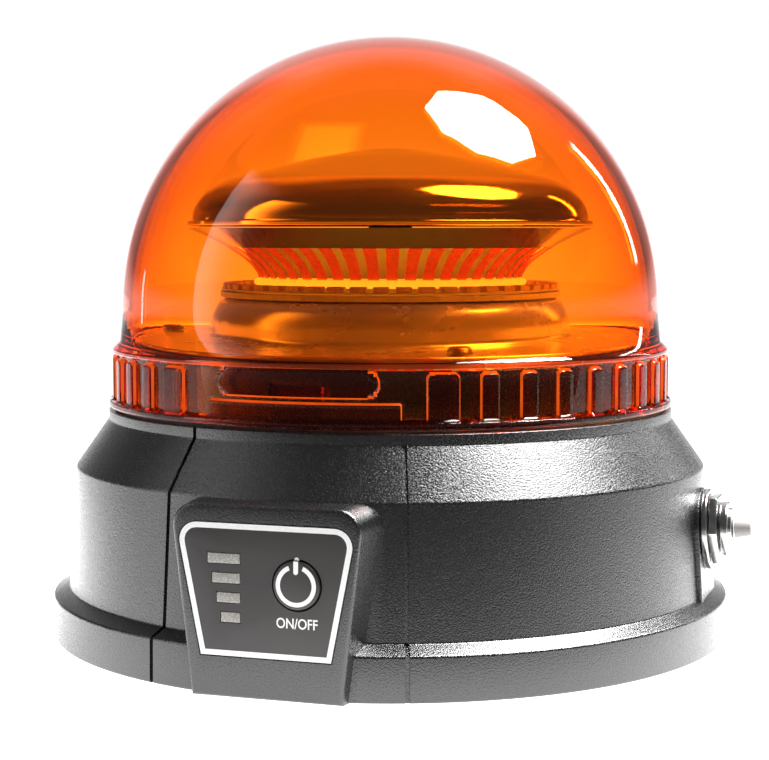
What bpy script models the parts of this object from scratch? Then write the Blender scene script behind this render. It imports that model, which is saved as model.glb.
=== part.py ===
"""Rechargeable amber LED warning beacon on a magnetic base.

The beacon stands on its rubber-covered magnet, whose face is z = 0. The lens axis is Z, the control
panel faces -Y and the charging socket faces +X. Lengths below are millimetres; meshes are metres.
"""

from math import acos, atan2, cos, pi, radians, sin, tan

import bmesh
import bpy
from mathutils import Matrix, Vector

MM = 0.001
GAP = 0.3            # between pieces that touch
CUT_OVER = 1.0       # how far a cutter runs past the surface it goes through
BIG_SIDES = 48       # facets round the housing and the dome
MID_SIDES = 32       # facets round the optics, boards and magnet
SMALL_SIDES = 16     # facets round the socket, button and cells
SCREW_SIDES = 10

# Housing, outside
FLANGE_R = 75.0
FOOT_Z = 1.0         # the housing's lower edge, clear of the surface
LEDGE_Z = 9.95
LEDGE_R = 71.35
WALL_Z0 = 11.6
WALL_Z1 = 38.0
WALL_TOP_R = 69.6
DECK_R = 62.4
NECK_Z = 48.1
DECK_Z = 50.3
WALL_DRAFT = radians(3.4)

# Housing, inside
WALL = 2.6
PLATE_SEAT_Z = 8.0
PLATE_BORE_R = 72.2
DECK_THICK = 2.7
SPIGOT_R = 58.1
SPIGOT_BORE_R = 53.5
SPIGOT_TOP_Z = 62.2
SEAL_GROOVE = (59.3, 61.5, 1.0)      # inner radius, outer radius, depth

# Parting grooves beside the panel
GROOVE_ANGLE = radians(20.5)
GROOVE_WIDTH = 1.2
GROOVE_DEPTH = 0.8

# Control panel
PANEL_Y = -76.0
BLOCK_HALF_TOP = 19.5
BLOCK_HALF_FOOT = 15.25
BLOCK_TOP_Z = 38.0
BLOCK_CORNER_R = 4.5
BLOCK_DRAFT = radians(10)
BLOCK_DEPTH = 9.6
OVERLAY_Z0 = 9.0
OVERLAY_Z1 = 34.5
OVERLAY_HALF_TOP = 18.25
OVERLAY_HALF_FOOT = 13.2
OVERLAY_CORNER_R = 3.4
OVERLAY_THICK = 0.5
RECESS_DEPTH = 0.8
PANEL_WALL = 3.0
POCKET_HALF = 13.8
POCKET_Z = (10.5, 34.3)

BUTTON_U, BUTTON_Z = 6.4, 23.35
BUTTON_R = 4.7
BUTTON_PROUD = 0.6
BUTTON_TRAVEL = 0.8
BUTTON_SKIRT_R = 5.7
PLUNGER_R = 1.75
SWITCH_SIDE = 6.2

LEVEL_RIGHT_U = -5.05
LEVEL_WIDTHS = (6.55, 5.65, 4.75, 3.9)
LEVEL_HEIGHT = 1.95
LEVEL_TOP_Z = 27.7
LEVEL_PITCH = 3.73

# Charging socket, lengths from the outer face of its boss along its axis
SOCKET_X, SOCKET_Z = 70.9, 25.6
BOSS_HALF = 8.8
SOCKET_WALL = 3.6     # boss and housing wall together
BARREL_R = 5.4
WASHER_R = 8.6
WASHER_Z = (0.3, 1.5)
NUT_FLATS = 14.0
NUT_Z = (1.8, 3.4)
BARREL_Z = (-9.0, 3.5)
BORE_R = 4.6
PLUG_BORE_R = 2.9
PIN_END_Z = -14.0
CAP_R = 5.8
CAP_CROWN_R = 4.4
CAP_Z = (3.8, 5.4, 6.0)     # rim's foot, rim's top, crown's top
PULL_Z = (6.3, 9.8)
PULL_R = (2.15, 1.65)        # foot, tip

# Magnet and base plate
BOOT_R = 47.0
BOOT_THICK = 1.6
BOOT_TOP_Z = 7.0
RING_BORE_R = 14.0
STUD_R = 2.5
CUP_R = 44.5
CUP_TOP_Z = 12.6
PAN_R = 47.6
PAN_TOP_Z = 13.2
PLATE_Z = (3.6, 6.1)
PLATE_R = 71.8
BASE_SCREW_R = 65.0

# Battery and control board
CELL_R = 9.2
CELL_LENGTH = 65.0
CELL_PITCH = 19.4
TRAY_Z = 19.8
POST_X, POST_Y = 40.0, 35.0
BOARD_Z = 42.0
BOARD_R = 57.0
BOARD_THICK = 1.6
ENGINE_LEAD_AT = (12, 8)     # where the wire goes up into the LED board

# Light engine
FLOOR_R = 56.0
FLOOR_Z = (62.5, 64.0)
DRUM_R = 40.0
DRUM_TOP_R = 36.0
DRUM_ROUND_Z = 67.5
DRUM_TOP_Z = 74.3
LED_BOARD_R = 37.7
LED_BOARD_Z = (74.6, 75.8)
LED_COUNT = 48
LED_RING_R = (34.2, 37.5)
LED_RING_Z = 76.1
HORN_FOOT_R = 29.0
HORN_RIM_R = 45.0
HORN_Z = (78.0, 89.6)
LIGHT_CAP_R = 45.0
LIGHT_CAP_Z = (90.05, 92.6)
LIGHT_CAP_TOP_Z = 106.9
ENGINE_SCREW_COUNT = 3
ENGINE_SCREW_R = 52.6
ENGINE_SCREW_ANGLE = radians(-57)
ENGINE_SCREW_HEAD = (2.6, 1.6)
ENGINE_SCREW_SHANK = (1.2, 9.0)

# Dome
DOME_WALL = 2.0
DOME_R = 59.35
DOME_FOOT_R = 60.0
DOME_SPRING_Z = 72.15
COLLAR_R = 61.6
COLLAR_Z = (51.0, 64.4)
SKIRT_BORE_R = 58.5
LIP_HEIGHT = 1.5
LUG_COUNT = 4
LUG_HALF = radians(5)
LUG_REACH = 2.1
LUG_Z = (56.0, 59.0)
TWIST = radians(20)

beacon = bpy.data.collections.new("led_safety_flare")
cutters = bpy.data.collections.new("cutters")


def clear_scene():
    for item in list(bpy.data.objects):
        bpy.data.objects.remove(item, do_unlink=True)
    for collection in (beacon, cutters):
        bpy.context.scene.collection.children.link(collection)


def material(name, colour, roughness, metallic=0.0, transmission=0.0):
    made = bpy.data.materials.new(name)
    made.use_nodes = True
    shader = made.node_tree.nodes["Principled BSDF"]
    shader.inputs["Base Color"].default_value = (*colour, 1)
    shader.inputs["Roughness"].default_value = roughness
    shader.inputs["Metallic"].default_value = metallic
    shader.inputs["Transmission Weight"].default_value = transmission
    made.diffuse_color = (*colour, 1)
    return made


AMBER = (0.95, 0.22, 0.01)
BLACK_PLASTIC = (0.03, 0.03, 0.033)
LABEL_GREY = (0.06, 0.06, 0.062)
PALE_GREY = (0.55, 0.54, 0.52)
STEEL = (0.62, 0.62, 0.64)
RUBBER = (0.02, 0.02, 0.02)
BOARD_GREEN = (0.02, 0.16, 0.07)
CELL_BLUE = (0.05, 0.2, 0.55)
COPPER = (0.7, 0.35, 0.15)


def frame(name, place, turn=(0, 0, 0)):
    """An empty that pieces are placed in; place in mm, turn in radians."""
    made = bpy.data.objects.new(name, None)
    made.location = Vector(place) * MM
    made.rotation_euler = turn
    made.empty_display_size = 0.01
    beacon.objects.link(made)
    return made


def add(name, mesh, parent, collection):
    made = bpy.data.objects.new(name, mesh)
    made.parent = parent
    collection.objects.link(made)
    if collection is cutters:
        made.hide_render = True
        made.display_type = "WIRE"
    return made


def from_bmesh(name, shape, parent, collection):
    bmesh.ops.recalc_face_normals(shape, faces=shape.faces)
    mesh = bpy.data.meshes.new(name)
    shape.to_mesh(mesh)
    shape.free()
    return add(name, mesh, parent, collection)


def turned(name, points, sides, parent=None, collection=beacon):
    """A turned piece about its frame's Z axis, from (radius, height) points.

    The outline closes itself, or closes on the axis where its two ends lie there.
    """
    following = points[1:] + points[:1]
    twice_area = sum(r0 * z1 - r1 * z0 for (r0, z0), (r1, z1) in zip(points, following))
    if twice_area > 0:
        points = points[::-1]
    last = len(points) - 1
    edges = [(i, i + 1) for i in range(last)]
    if points[0][0] or points[last][0]:
        edges.append((last, 0))
    mesh = bpy.data.meshes.new(name)
    mesh.from_pydata([(r * MM, 0, z * MM) for r, z in points], edges, [])
    made = add(name, mesh, parent, collection)
    screw = made.modifiers.new("turn", "SCREW")
    screw.steps = screw.render_steps = sides
    screw.use_merge_vertices = True
    screw.merge_threshold = 0.00001
    return made


def cylinder(name, radius, z0, z1, sides, parent=None, collection=beacon, at=(0, 0)):
    shape = bmesh.new()
    lift = Matrix.Translation(Vector((at[0], at[1], (z0 + z1) / 2)) * MM)
    bmesh.ops.create_cone(
        shape, cap_ends=True, segments=sides, radius1=radius * MM, radius2=radius * MM,
        depth=(z1 - z0) * MM, matrix=lift,
    )
    return from_bmesh(name, shape, parent, collection)


def box(name, low, high, parent=None, collection=beacon):
    shape = bmesh.new()
    size = Vector(high) - Vector(low)
    middle = (Vector(high) + Vector(low)) / 2
    bmesh.ops.create_cube(shape, size=MM)
    bmesh.ops.scale(shape, vec=size, verts=shape.verts)
    bmesh.ops.translate(shape, vec=middle * MM, verts=shape.verts)
    return from_bmesh(name, shape, parent, collection)


def slab(name, outline, z0, z1, parent=None, collection=beacon):
    """A flat outline in its frame's XY plane, from z0 to z1."""
    curve = bpy.data.curves.new(name, "CURVE")
    curve.dimensions = "2D"
    curve.fill_mode = "BOTH"
    curve.extrude = (z1 - z0) / 2 * MM
    spline = curve.splines.new("POLY")
    spline.points.add(len(outline) - 1)
    for point, (x, y) in zip(spline.points, outline):
        point.co = (x * MM, y * MM, 0, 1)
    spline.use_cyclic_u = True
    guide = bpy.data.objects.new(name + "_guide", curve)
    cutters.objects.link(guide)
    shape = bmesh.new()
    graph = bpy.context.evaluated_depsgraph_get()
    shape.from_mesh(bpy.data.meshes.new_from_object(guide.evaluated_get(graph)))
    bpy.data.objects.remove(guide)
    bmesh.ops.remove_doubles(shape, verts=shape.verts, dist=0.000001)
    bmesh.ops.translate(shape, vec=(0, 0, (z0 + z1) / 2 * MM), verts=shape.verts)
    return from_bmesh(name, shape, parent, collection)


def boolean(piece, tool, operation):
    made = piece.modifiers.new(tool.name, "BOOLEAN")
    made.operation = operation
    made.object = tool


def cut(piece, *tools):
    for tool in tools:
        boolean(piece, tool, "DIFFERENCE")


def join(piece, *tools):
    for tool in tools:
        boolean(piece, tool, "UNION")


def finish(piece, look):
    """Makes the modifiers' result the piece's own mesh, smooth with sharp corners."""
    graph = bpy.context.evaluated_depsgraph_get()
    mesh = bpy.data.meshes.new_from_object(piece.evaluated_get(graph))
    piece.modifiers.clear()
    piece.data = mesh
    mesh.name = piece.name
    mesh.shade_smooth()
    mesh.set_sharp_from_angle(angle=radians(35))
    mesh.materials.clear()
    mesh.materials.append(look)
    return piece


def lead(name, knots, thickness, look):
    """A wire along a smooth curve through its knots."""
    curve = bpy.data.curves.new(name, "CURVE")
    curve.dimensions = "3D"
    curve.bevel_depth = thickness / 2 * MM
    curve.bevel_resolution = 2
    curve.use_fill_caps = True
    route = smooth_route([Vector(knot) for knot in knots], 4)
    spline = curve.splines.new("POLY")
    spline.points.add(len(route) - 1)
    for point, place in zip(spline.points, route):
        point.co = (*(place * MM), 1)
    curve.materials.append(look)
    return add(name, curve, None, beacon)


def smooth_route(knots, steps):
    """Points on a Catmull-Rom curve through the knots."""
    ends = [2 * knots[0] - knots[1]] + knots + [2 * knots[-1] - knots[-2]]
    route = []
    for p0, p1, p2, p3 in zip(ends, ends[1:], ends[2:], ends[3:]):
        for step in range(steps):
            t = step / steps
            bend = (2 * p0 - 5 * p1 + 4 * p2 - p3) * t * t + (3 * p1 - p0 - 3 * p2 + p3) * t ** 3
            route.append((2 * p1 + (p2 - p0) * t + bend) / 2)
    return route + [knots[-1]]


def arc(centre, across, up, start, end, steps):
    """Points on an ellipse about centre; angles in radians, from the first axis."""
    angles = [start + (end - start) * i / steps for i in range(steps + 1)]
    return [(centre[0] + across * cos(a), centre[1] + up * sin(a)) for a in angles]


def rounded(corners, radii, steps=4):
    """The outline through corners, each rounded by its own radius; 0 keeps it sharp."""
    outline = []
    for i, radius in enumerate(radii):
        corner = Vector(corners[i])
        if not radius:
            outline.append(tuple(corner))
            continue
        before = (Vector(corners[i - 1]) - corner).normalized()
        after = (Vector(corners[(i + 1) % len(corners)]) - corner).normalized()
        half = acos(before.dot(after)) / 2
        centre = corner + (before + after).normalized() * radius / sin(half)
        start = corner + before * radius / tan(half) - centre
        swing = pi - 2 * half
        if before.x * after.y - before.y * after.x > 0:
            swing = -swing
        first = atan2(start.y, start.x)
        outline += arc(centre, radius, radius, first, first + swing, steps)
    return outline


def grown(outline, by):
    """A convex outline moved outward by about the given distance at every point."""
    middle = sum((Vector(p) for p in outline), Vector((0, 0))) / len(outline)
    pushed = []
    for before, point, after in zip(outline[-1:] + outline, outline, outline[1:] + outline[:1]):
        edge_in = (Vector(point) - Vector(before)).normalized()
        edge_out = (Vector(after) - Vector(point)).normalized()
        side = edge_in + edge_out
        out = Vector((side.y, -side.x)).normalized()
        if out.dot(Vector(point) - middle) < 0:
            out = -out
        square = max(0.3, cos(edge_in.angle(edge_out) / 2))
        pushed.append(tuple(Vector(point) + out * by / square))
    return pushed


def sector(r0, r1, start, end, steps=4):
    """A ring's outline between two angles."""
    return arc((0, 0), r1, r1, start, end, steps) + arc((0, 0), r0, r0, end, start, steps)


def polar(radius, angle):
    return radius * cos(angle), radius * sin(angle)


def ring_angles(count, start=0.0):
    return [start + 2 * pi * i / count for i in range(count)]


def hexagon(flats, start=0.0):
    return [polar(flats / 2 / cos(pi / 6), angle) for angle in ring_angles(6, start)]


def ring_outline(inner, outer, low, high):
    return [(inner, low), (outer, low), (outer, high), (inner, high)]


def wall_outline(inset=0.0):
    """(radius, height) points of the housing's outside, deck edge first, moved in by inset."""
    return [
        (DECK_R - inset, DECK_Z),
        (DECK_R - inset, NECK_Z),
        (WALL_TOP_R - inset, WALL_Z1),
        (LEDGE_R - inset, WALL_Z0),
        (FLANGE_R - inset, LEDGE_Z),
        (FLANGE_R - inset, FOOT_Z),
    ]


def housing_shell():
    groove_in, groove_out, groove_depth = SEAL_GROOVE
    deck_under = DECK_Z - DECK_THICK
    inside = [
        (PLATE_BORE_R, FOOT_Z),
        (PLATE_BORE_R, PLATE_SEAT_Z),
        (LEDGE_R - WALL, PLATE_SEAT_Z),
        (LEDGE_R - WALL, WALL_Z0),
        (WALL_TOP_R - WALL, WALL_Z1 - 1),
        (DECK_R - WALL, deck_under),
        (SPIGOT_BORE_R, deck_under),
        (SPIGOT_BORE_R, SPIGOT_TOP_Z),
        (SPIGOT_R, SPIGOT_TOP_Z),
        (SPIGOT_R, DECK_Z),
        (groove_in, DECK_Z),
        (groove_in, DECK_Z - groove_depth),
        (groove_out, DECK_Z - groove_depth),
        (groove_out, DECK_Z),
    ]
    return turned("base_housing", wall_outline() + inside, BIG_SIDES)


def panel_block(panel):
    """The raised block under the control panel, wider towards the wall."""
    corners = [
        (-BLOCK_HALF_FOOT, FOOT_Z),
        (BLOCK_HALF_FOOT, FOOT_Z),
        (BLOCK_HALF_TOP, BLOCK_TOP_Z),
        (-BLOCK_HALF_TOP, BLOCK_TOP_Z),
    ]
    outline = rounded(corners, (0, 0, BLOCK_CORNER_R, BLOCK_CORNER_R))
    block = slab("panel_block", outline, -BLOCK_DEPTH, 0, panel, cutters)
    spread = 1 + BLOCK_DEPTH * tan(BLOCK_DRAFT) / BLOCK_HALF_TOP
    for vertex in block.data.vertices:
        if vertex.co.z < -GAP * MM:
            vertex.co.x *= spread
    return block


def overlay_outline(margin=0.0):
    corners = [
        (-OVERLAY_HALF_FOOT, OVERLAY_Z0),
        (OVERLAY_HALF_FOOT, OVERLAY_Z0),
        (OVERLAY_HALF_TOP, OVERLAY_Z1),
        (-OVERLAY_HALF_TOP, OVERLAY_Z1),
    ]
    outline = rounded(corners, (0, 0, OVERLAY_CORNER_R, OVERLAY_CORNER_R))
    return grown(outline, margin) if margin else outline


def level_box(name, index, margin, low, high, panel, collection=beacon):
    """The block of level bar number index, grown by margin, between two depths."""
    middle = LEVEL_TOP_Z - LEVEL_PITCH * index
    reach = LEVEL_HEIGHT / 2 + margin
    left = LEVEL_RIGHT_U - LEVEL_WIDTHS[index] - margin
    corner = (left, middle - reach, low)
    return box(name, corner, (LEVEL_RIGHT_U + margin, middle + reach, high), panel, collection)


def panel_cutters(panel):
    """The cutters that shape the panel block only, and those that go through its overlay too."""
    recess = slab("panel_recess", overlay_outline(0.15), -RECESS_DEPTH, CUT_OVER, panel, cutters)
    button = cylinder(
        "button_hole", BUTTON_R + GAP, -PANEL_WALL - CUT_OVER, CUT_OVER, SMALL_SIDES,
        panel, cutters, (BUTTON_U, BUTTON_Z),
    )
    slots = [
        level_box(f"level_slot_{i + 1}", i, 0.15, -PANEL_WALL - CUT_OVER, CUT_OVER, panel, cutters)
        for i in range(len(LEVEL_WIDTHS))
    ]
    low = (-POCKET_HALF, POCKET_Z[0], -BLOCK_DEPTH - 6)
    pocket = box("panel_pocket", low, (POCKET_HALF, POCKET_Z[1], -PANEL_WALL), panel, cutters)
    return [recess, pocket], [button, *slots]


def socket_boss():
    """The flat arch-topped face that the charging socket is clamped to."""
    foot = WALL_Z0 - SOCKET_Z - 1
    arch = arc((0, 0), BOSS_HALF, BOSS_HALF, 0, pi, 12)
    outline = [(BOSS_HALF, foot), *arch, (-BOSS_HALF, foot)]
    facing = frame("socket_boss_frame", (SOCKET_X, 0, SOCKET_Z), (pi / 2 - WALL_DRAFT, 0, pi / 2))
    return slab("socket_boss", outline, -SOCKET_WALL, 0, facing, cutters)


def parting_groove(name, angle):
    spine = [(r, z) for r, z in wall_outline(GROOVE_DEPTH)]
    spine = [(spine[0][0], DECK_Z + CUT_OVER), *spine[1:-1], (spine[-1][0], FOOT_Z - CUT_OVER)]
    outside = [(FLANGE_R + CUT_OVER, FOOT_Z - CUT_OVER), (FLANGE_R + CUT_OVER, DECK_Z + CUT_OVER)]
    upright = frame(name + "_frame", (0, 0, 0), (pi / 2, 0, angle))
    half = GROOVE_WIDTH / 2
    return slab(name, spine + outside, -half, half, upright, cutters)


def bayonet_cutters():
    """For each lug a channel along its twist, and a slot that lets it in from above."""
    made = []
    floor_r = SPIGOT_R - LUG_REACH
    spare = radians(0.8)
    for i, angle in enumerate(ring_angles(LUG_COUNT)):
        start = angle - LUG_HALF - spare
        end = angle + TWIST + LUG_HALF + spare
        channel = sector(floor_r, SPIGOT_R + CUT_OVER, start, end)
        z0, z1 = LUG_Z[0] - 0.4, LUG_Z[1] + 0.4
        made.append(slab(f"lug_channel_{i + 1}", channel, z0, z1, None, cutters))
        entry = sector(floor_r, SPIGOT_R + CUT_OVER, angle + TWIST - LUG_HALF - spare, end)
        top = SPIGOT_TOP_Z + CUT_OVER
        made.append(slab(f"lug_entry_{i + 1}", entry, z1 - 0.2, top, None, cutters))
    return made


def engine_screw_places():
    angles = ring_angles(ENGINE_SCREW_COUNT, ENGINE_SCREW_ANGLE)
    return [polar(ENGINE_SCREW_R, angle) for angle in angles]


def base_screw_places():
    return [polar(BASE_SCREW_R, a) for a in ring_angles(4, pi / 4)]


def base_housing(panel, openings, socket, look):
    housing = housing_shell()
    join(housing, panel_block(panel), socket_boss())
    bore = ("plate_bore", PLATE_BORE_R - 0.05, 0, PLATE_SEAT_Z, BIG_SIDES)
    cut(housing, cylinder(*bore, None, cutters))
    for i, place in enumerate(engine_screw_places()):
        post = (f"engine_boss_{i + 1}", 3.4, DECK_Z - 2, SPIGOT_TOP_Z, SCREW_SIDES)
        join(housing, cylinder(*post, None, cutters, place))
        hole = (f"engine_pilot_{i + 1}", 1.5, SPIGOT_TOP_Z - 9, SPIGOT_TOP_Z + 2, SCREW_SIDES)
        cut(housing, cylinder(*hole, None, cutters, place))
    for i, place in enumerate(base_screw_places()):
        post = (f"base_boss_{i + 1}", 4.2, PLATE_Z[1] + GAP, 19.0, SCREW_SIDES)
        join(housing, cylinder(*post, None, cutters, place))
        hole = (f"base_pilot_{i + 1}", 1.8, PLATE_Z[1] - 1, 17.0, SCREW_SIDES)
        cut(housing, cylinder(*hole, None, cutters, place))
    cut(housing, *openings)
    bore = ("socket_hole", BARREL_R + GAP, -12, 4, SMALL_SIDES)
    cut(housing, cylinder(*bore, socket, cutters))
    cut(housing, parting_groove("groove_left", -pi / 2 - GROOVE_ANGLE))
    cut(housing, parting_groove("groove_right", -pi / 2 + GROOVE_ANGLE))
    cut(housing, *bayonet_cutters())
    finish(housing, look)


def base_plate(look):
    """The bottom plate: a flat rim round a raised pan that the magnet sits in."""
    low, high = PLATE_Z
    pan_wall = 2.0
    hole_r = 2.9
    outline = [
        (PLATE_R, high), (PLATE_R, low),
        (PAN_R, low), (PAN_R, PAN_TOP_Z), (hole_r, PAN_TOP_Z),
        (hole_r, PAN_TOP_Z + pan_wall), (PAN_R + pan_wall, PAN_TOP_Z + pan_wall),
        (PAN_R + pan_wall, high),
    ]
    plate = turned("base_plate", outline, BIG_SIDES)
    for i, place in enumerate(base_screw_places()):
        hole = (f"plate_hole_{i + 1}", 2.1, low - CUT_OVER, high + CUT_OVER, SCREW_SIDES)
        cut(plate, cylinder(*hole, None, cutters, place))
    finish(plate, look)


def magnet(steel, ceramic, rubber):
    """Steel cup, ring magnet and the rubber boot that the beacon stands on."""
    wall = 2.0
    top = CUP_TOP_Z
    foot = BOOT_THICK + GAP
    hole_r = 2.9
    cup = [
        (CUP_R, top), (CUP_R, foot), (CUP_R - wall, foot),
        (CUP_R - wall, top - wall), (hole_r, top - wall), (hole_r, top),
    ]
    finish(turned("magnet_cup", cup, MID_SIDES), steel)
    under = top - wall - GAP
    ring = ring_outline(RING_BORE_R, CUP_R - wall - GAP, 3.0, under)
    finish(turned("ring_magnet", ring, MID_SIDES), ceramic)
    boot = [
        (0, BOOT_THICK), (CUP_R + GAP, BOOT_THICK), (CUP_R + GAP, BOOT_TOP_Z), (BOOT_R, BOOT_TOP_Z),
        (BOOT_R, 0.6), (BOOT_R - 0.6, 0), (0, 0),
    ]
    finish(turned("magnet_boot", boot, MID_SIDES), rubber)
    tip, head_foot = 19.0, 7.6
    stud = [(0, tip), (STUD_R, tip), (STUD_R, under), (4.6, under), (4.6, head_foot), (0, head_foot)]
    finish(turned("magnet_screw", stud, SMALL_SIDES), steel)
    nut = slab("magnet_nut", hexagon(8.0), PAN_TOP_Z + 2.3, PAN_TOP_Z + 5.8)
    cut(nut, cylinder("magnet_nut_hole", STUD_R + GAP, 10, 25, SMALL_SIDES, None, cutters))
    finish(nut, steel)


def screw(name, place, seat_z, head, shank, look, upward=False):
    """A pan-head screw; head and shank are (radius, length). It points down unless upward."""
    turn = (pi, 0, 0) if upward else (0, 0, 0)
    at = frame(name + "_axis", (*place, seat_z), turn)
    head_r, head_h = head
    shank_r, length = shank
    outline = [
        (0, head_h), (head_r * 0.7, head_h), (head_r, head_h * 0.5), (head_r, 0),
        (shank_r, 0), (shank_r, 0.6 - length), (shank_r * 0.5, -length), (0, -length),
    ]
    finish(turned(name, outline, SCREW_SIDES, at), look)


def base_fasteners(steel, rubber):
    for i, place in enumerate(base_screw_places()):
        seat = PLATE_Z[0] - GAP
        screw(f"base_screw_{i + 1}", place, seat, (3.2, 1.8), (1.4, 11), steel, upward=True)
    inner = LEDGE_R - WALL + 0.6
    low, high = PLATE_Z[1] + GAP, PLATE_SEAT_Z - GAP
    seal = [(inner, high), (PLATE_R - 0.2, high), (PLATE_R - 0.2, low), (inner, low)]
    finish(turned("base_plate_seal", seal, BIG_SIDES), rubber)


def panel_parts(panel, through, looks):
    overlay = slab("panel_overlay", overlay_outline(), -OVERLAY_THICK, 0, panel)
    cut(overlay, *through)
    finish(overlay, looks["label"])
    for i in range(len(LEVEL_WIDTHS)):
        window = level_box(f"level_window_{i + 1}", i, 0, -PANEL_WALL - 0.4, 0.05, panel)
        finish(window, looks["window"])
    low = (-POCKET_HALF + 0.5, POCKET_Z[0] + 0.5, -10.9)
    board = box("panel_board", low, (POCKET_HALF - 0.5, POCKET_Z[1] - 0.5, -9.3), panel)
    finish(board, looks["board"])


def power_switch(button_axis, looks):
    """The button, the plunger it pushes, and the tact switch round the plunger."""
    behind = -PANEL_WALL - GAP
    outline = [
        (0, BUTTON_PROUD), (BUTTON_R - 0.5, BUTTON_PROUD), (BUTTON_R, BUTTON_PROUD - 0.5),
        (BUTTON_R, behind), (BUTTON_SKIRT_R, behind), (BUTTON_SKIRT_R, behind - 1), (0, behind - 1),
    ]
    finish(turned("power_button", outline, SMALL_SIDES, button_axis), looks["label"])
    top = behind - 1 - GAP
    plunger = cylinder("switch_plunger", PLUNGER_R, top - 2.2, top, SCREW_SIDES, button_axis)
    finish(plunger, looks["rubber"])
    half = SWITCH_SIDE / 2
    low, high = -9.0, top - 1.0
    body = box("tact_switch", (-half, -half, low), (half, half, high), button_axis)
    well = (top - 2.2 - BUTTON_TRAVEL - 0.3, high + CUT_OVER)
    cut(body, cylinder("plunger_well", PLUNGER_R + GAP, *well, SCREW_SIDES, button_axis, cutters))
    finish(body, looks["steel"])


def charging_socket(socket, looks):
    """The panel-mount socket; every length is along its axis from the boss's face."""
    washer = ring_outline(BARREL_R + 0.2, WASHER_R, *WASHER_Z)
    finish(turned("socket_washer", washer, 2 * SMALL_SIDES, socket), looks["chrome"])
    nut = slab("socket_nut", hexagon(NUT_FLATS, pi / 6), *NUT_Z, socket)
    cut(nut, cylinder("nut_hole", BARREL_R + 0.2, 0, 5, SMALL_SIDES, socket, cutters))
    finish(nut, looks["chrome"])
    inner_end, outer_end = BARREL_Z
    flange_r, flange_thick = 8.4, 1.4
    flange_z = -SOCKET_WALL - GAP
    barrel = [
        (BORE_R, outer_end), (BARREL_R, outer_end), (BARREL_R, flange_z), (flange_r, flange_z),
        (flange_r, flange_z - flange_thick), (BARREL_R, flange_z - flange_thick),
        (BARREL_R, inner_end), (BORE_R, inner_end),
    ]
    finish(turned("socket_barrel", barrel, SMALL_SIDES, socket), looks["chrome"])
    tail_z, tail_bore = inner_end - 2, 1.4
    insulator = [
        (PLUG_BORE_R, outer_end - 0.2), (BORE_R - GAP, outer_end - 0.2), (BORE_R - GAP, tail_z),
        (tail_bore, tail_z), (tail_bore, inner_end - 0.5), (PLUG_BORE_R, inner_end - 0.5),
    ]
    finish(turned("socket_insulator", insulator, SMALL_SIDES, socket), looks["rubber"])
    pin_r, pin_tip = 1.05, 1.6
    pin = [
        (0, pin_tip), (0.7, pin_tip), (pin_r, pin_tip - 0.4), (pin_r, PIN_END_Z), (0, PIN_END_Z),
    ]
    finish(turned("socket_pin", pin, SCREW_SIDES, socket), looks["copper"])


def charge_cap(axis, looks):
    """The push-in cap over the socket: metal shell, rubber plug and rubber pull."""
    low, shoulder, top = CAP_Z
    cap = [
        (0, top), (CAP_CROWN_R - 0.4, top), (CAP_CROWN_R, top - 0.4), (CAP_CROWN_R, shoulder),
        (CAP_R, shoulder), (CAP_R, low), (0, low),
    ]
    finish(turned("charge_cap", cap, SMALL_SIDES, axis), looks["chrome"])
    plug = ring_outline(1.5, PLUG_BORE_R - GAP, -4.5, low - GAP)
    finish(turned("cap_plug", plug, SMALL_SIDES, axis), looks["rubber"])
    foot_r, tip_r = PULL_R
    foot_z, tip_z = PULL_Z
    pull = [(0, tip_z), (tip_r - 0.2, tip_z), (tip_r, tip_z - 0.3), (foot_r, foot_z), (0, foot_z)]
    finish(turned("cap_pull", pull, SCREW_SIDES, axis), looks["rubber"])


def battery(looks):
    """Three lithium cells lying side by side in a tray on four posts."""
    inner_x, inner_y = CELL_LENGTH / 2 + 0.4, CELL_PITCH + CELL_R + 0.8
    floor = TRAY_Z + 1.4
    corners = [(-43, -38), (43, -38), (43, 38), (-43, 38)]
    tray = slab("battery_tray", rounded(corners, (5, 5, 5, 5), 3), TRAY_Z, floor)
    rim = (-inner_x - 2.6, -inner_y - 1.6, TRAY_Z + 0.5)
    rim_top = (inner_x + 2.6, inner_y + 1.6, TRAY_Z + 12)
    join(tray, box("tray_rim", rim, rim_top, None, cutters))
    well = (-inner_x, -inner_y, floor)
    cut(tray, box("tray_well", well, (inner_x, inner_y, TRAY_Z + 14), None, cutters))
    for i, (x, y) in enumerate(((-1, -1), (1, -1), (1, 1), (-1, 1))):
        post = (f"tray_post_{i + 1}", 3.0, PLATE_Z[1] + GAP, BOARD_Z - GAP, SCREW_SIDES)
        join(tray, cylinder(*post, None, cutters, (x * POST_X, y * POST_Y)))
    finish(tray, looks["housing"])
    for i in range(3):
        at = (0, (i - 1) * CELL_PITCH, floor + GAP + CELL_R)
        axis = frame(f"battery_cell_{i + 1}_axis", at, (0, pi / 2, 0))
        half = CELL_LENGTH / 2
        outline = [
            (0, half), (3, half), (3, half - 1.2), (CELL_R - 0.6, half - 1.2),
            (CELL_R, half - 1.8), (CELL_R, -half), (0, -half),
        ]
        finish(turned(f"battery_cell_{i + 1}", outline, SMALL_SIDES, axis), looks["cell"])


def control_board(looks):
    """The round control board, with its larger components soldered on top."""
    top = BOARD_Z + BOARD_THICK
    board = cylinder("control_board", BOARD_R, BOARD_Z, top, MID_SIDES)
    join(board, box("controller_chip", (-6, -14, top - 0.2), (6, -2, top + 1.2), None, cutters))
    join(board, box("charger_chip", (20, -6, top - 0.2), (26, 2, top + 1.2), None, cutters))
    coil = ("driver_coil", 5.5, top - 0.2, top + 3.4, SCREW_SIDES)
    join(board, cylinder(*coil, None, cutters, (-22, 16)))
    finish(board, looks["board"])


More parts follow.
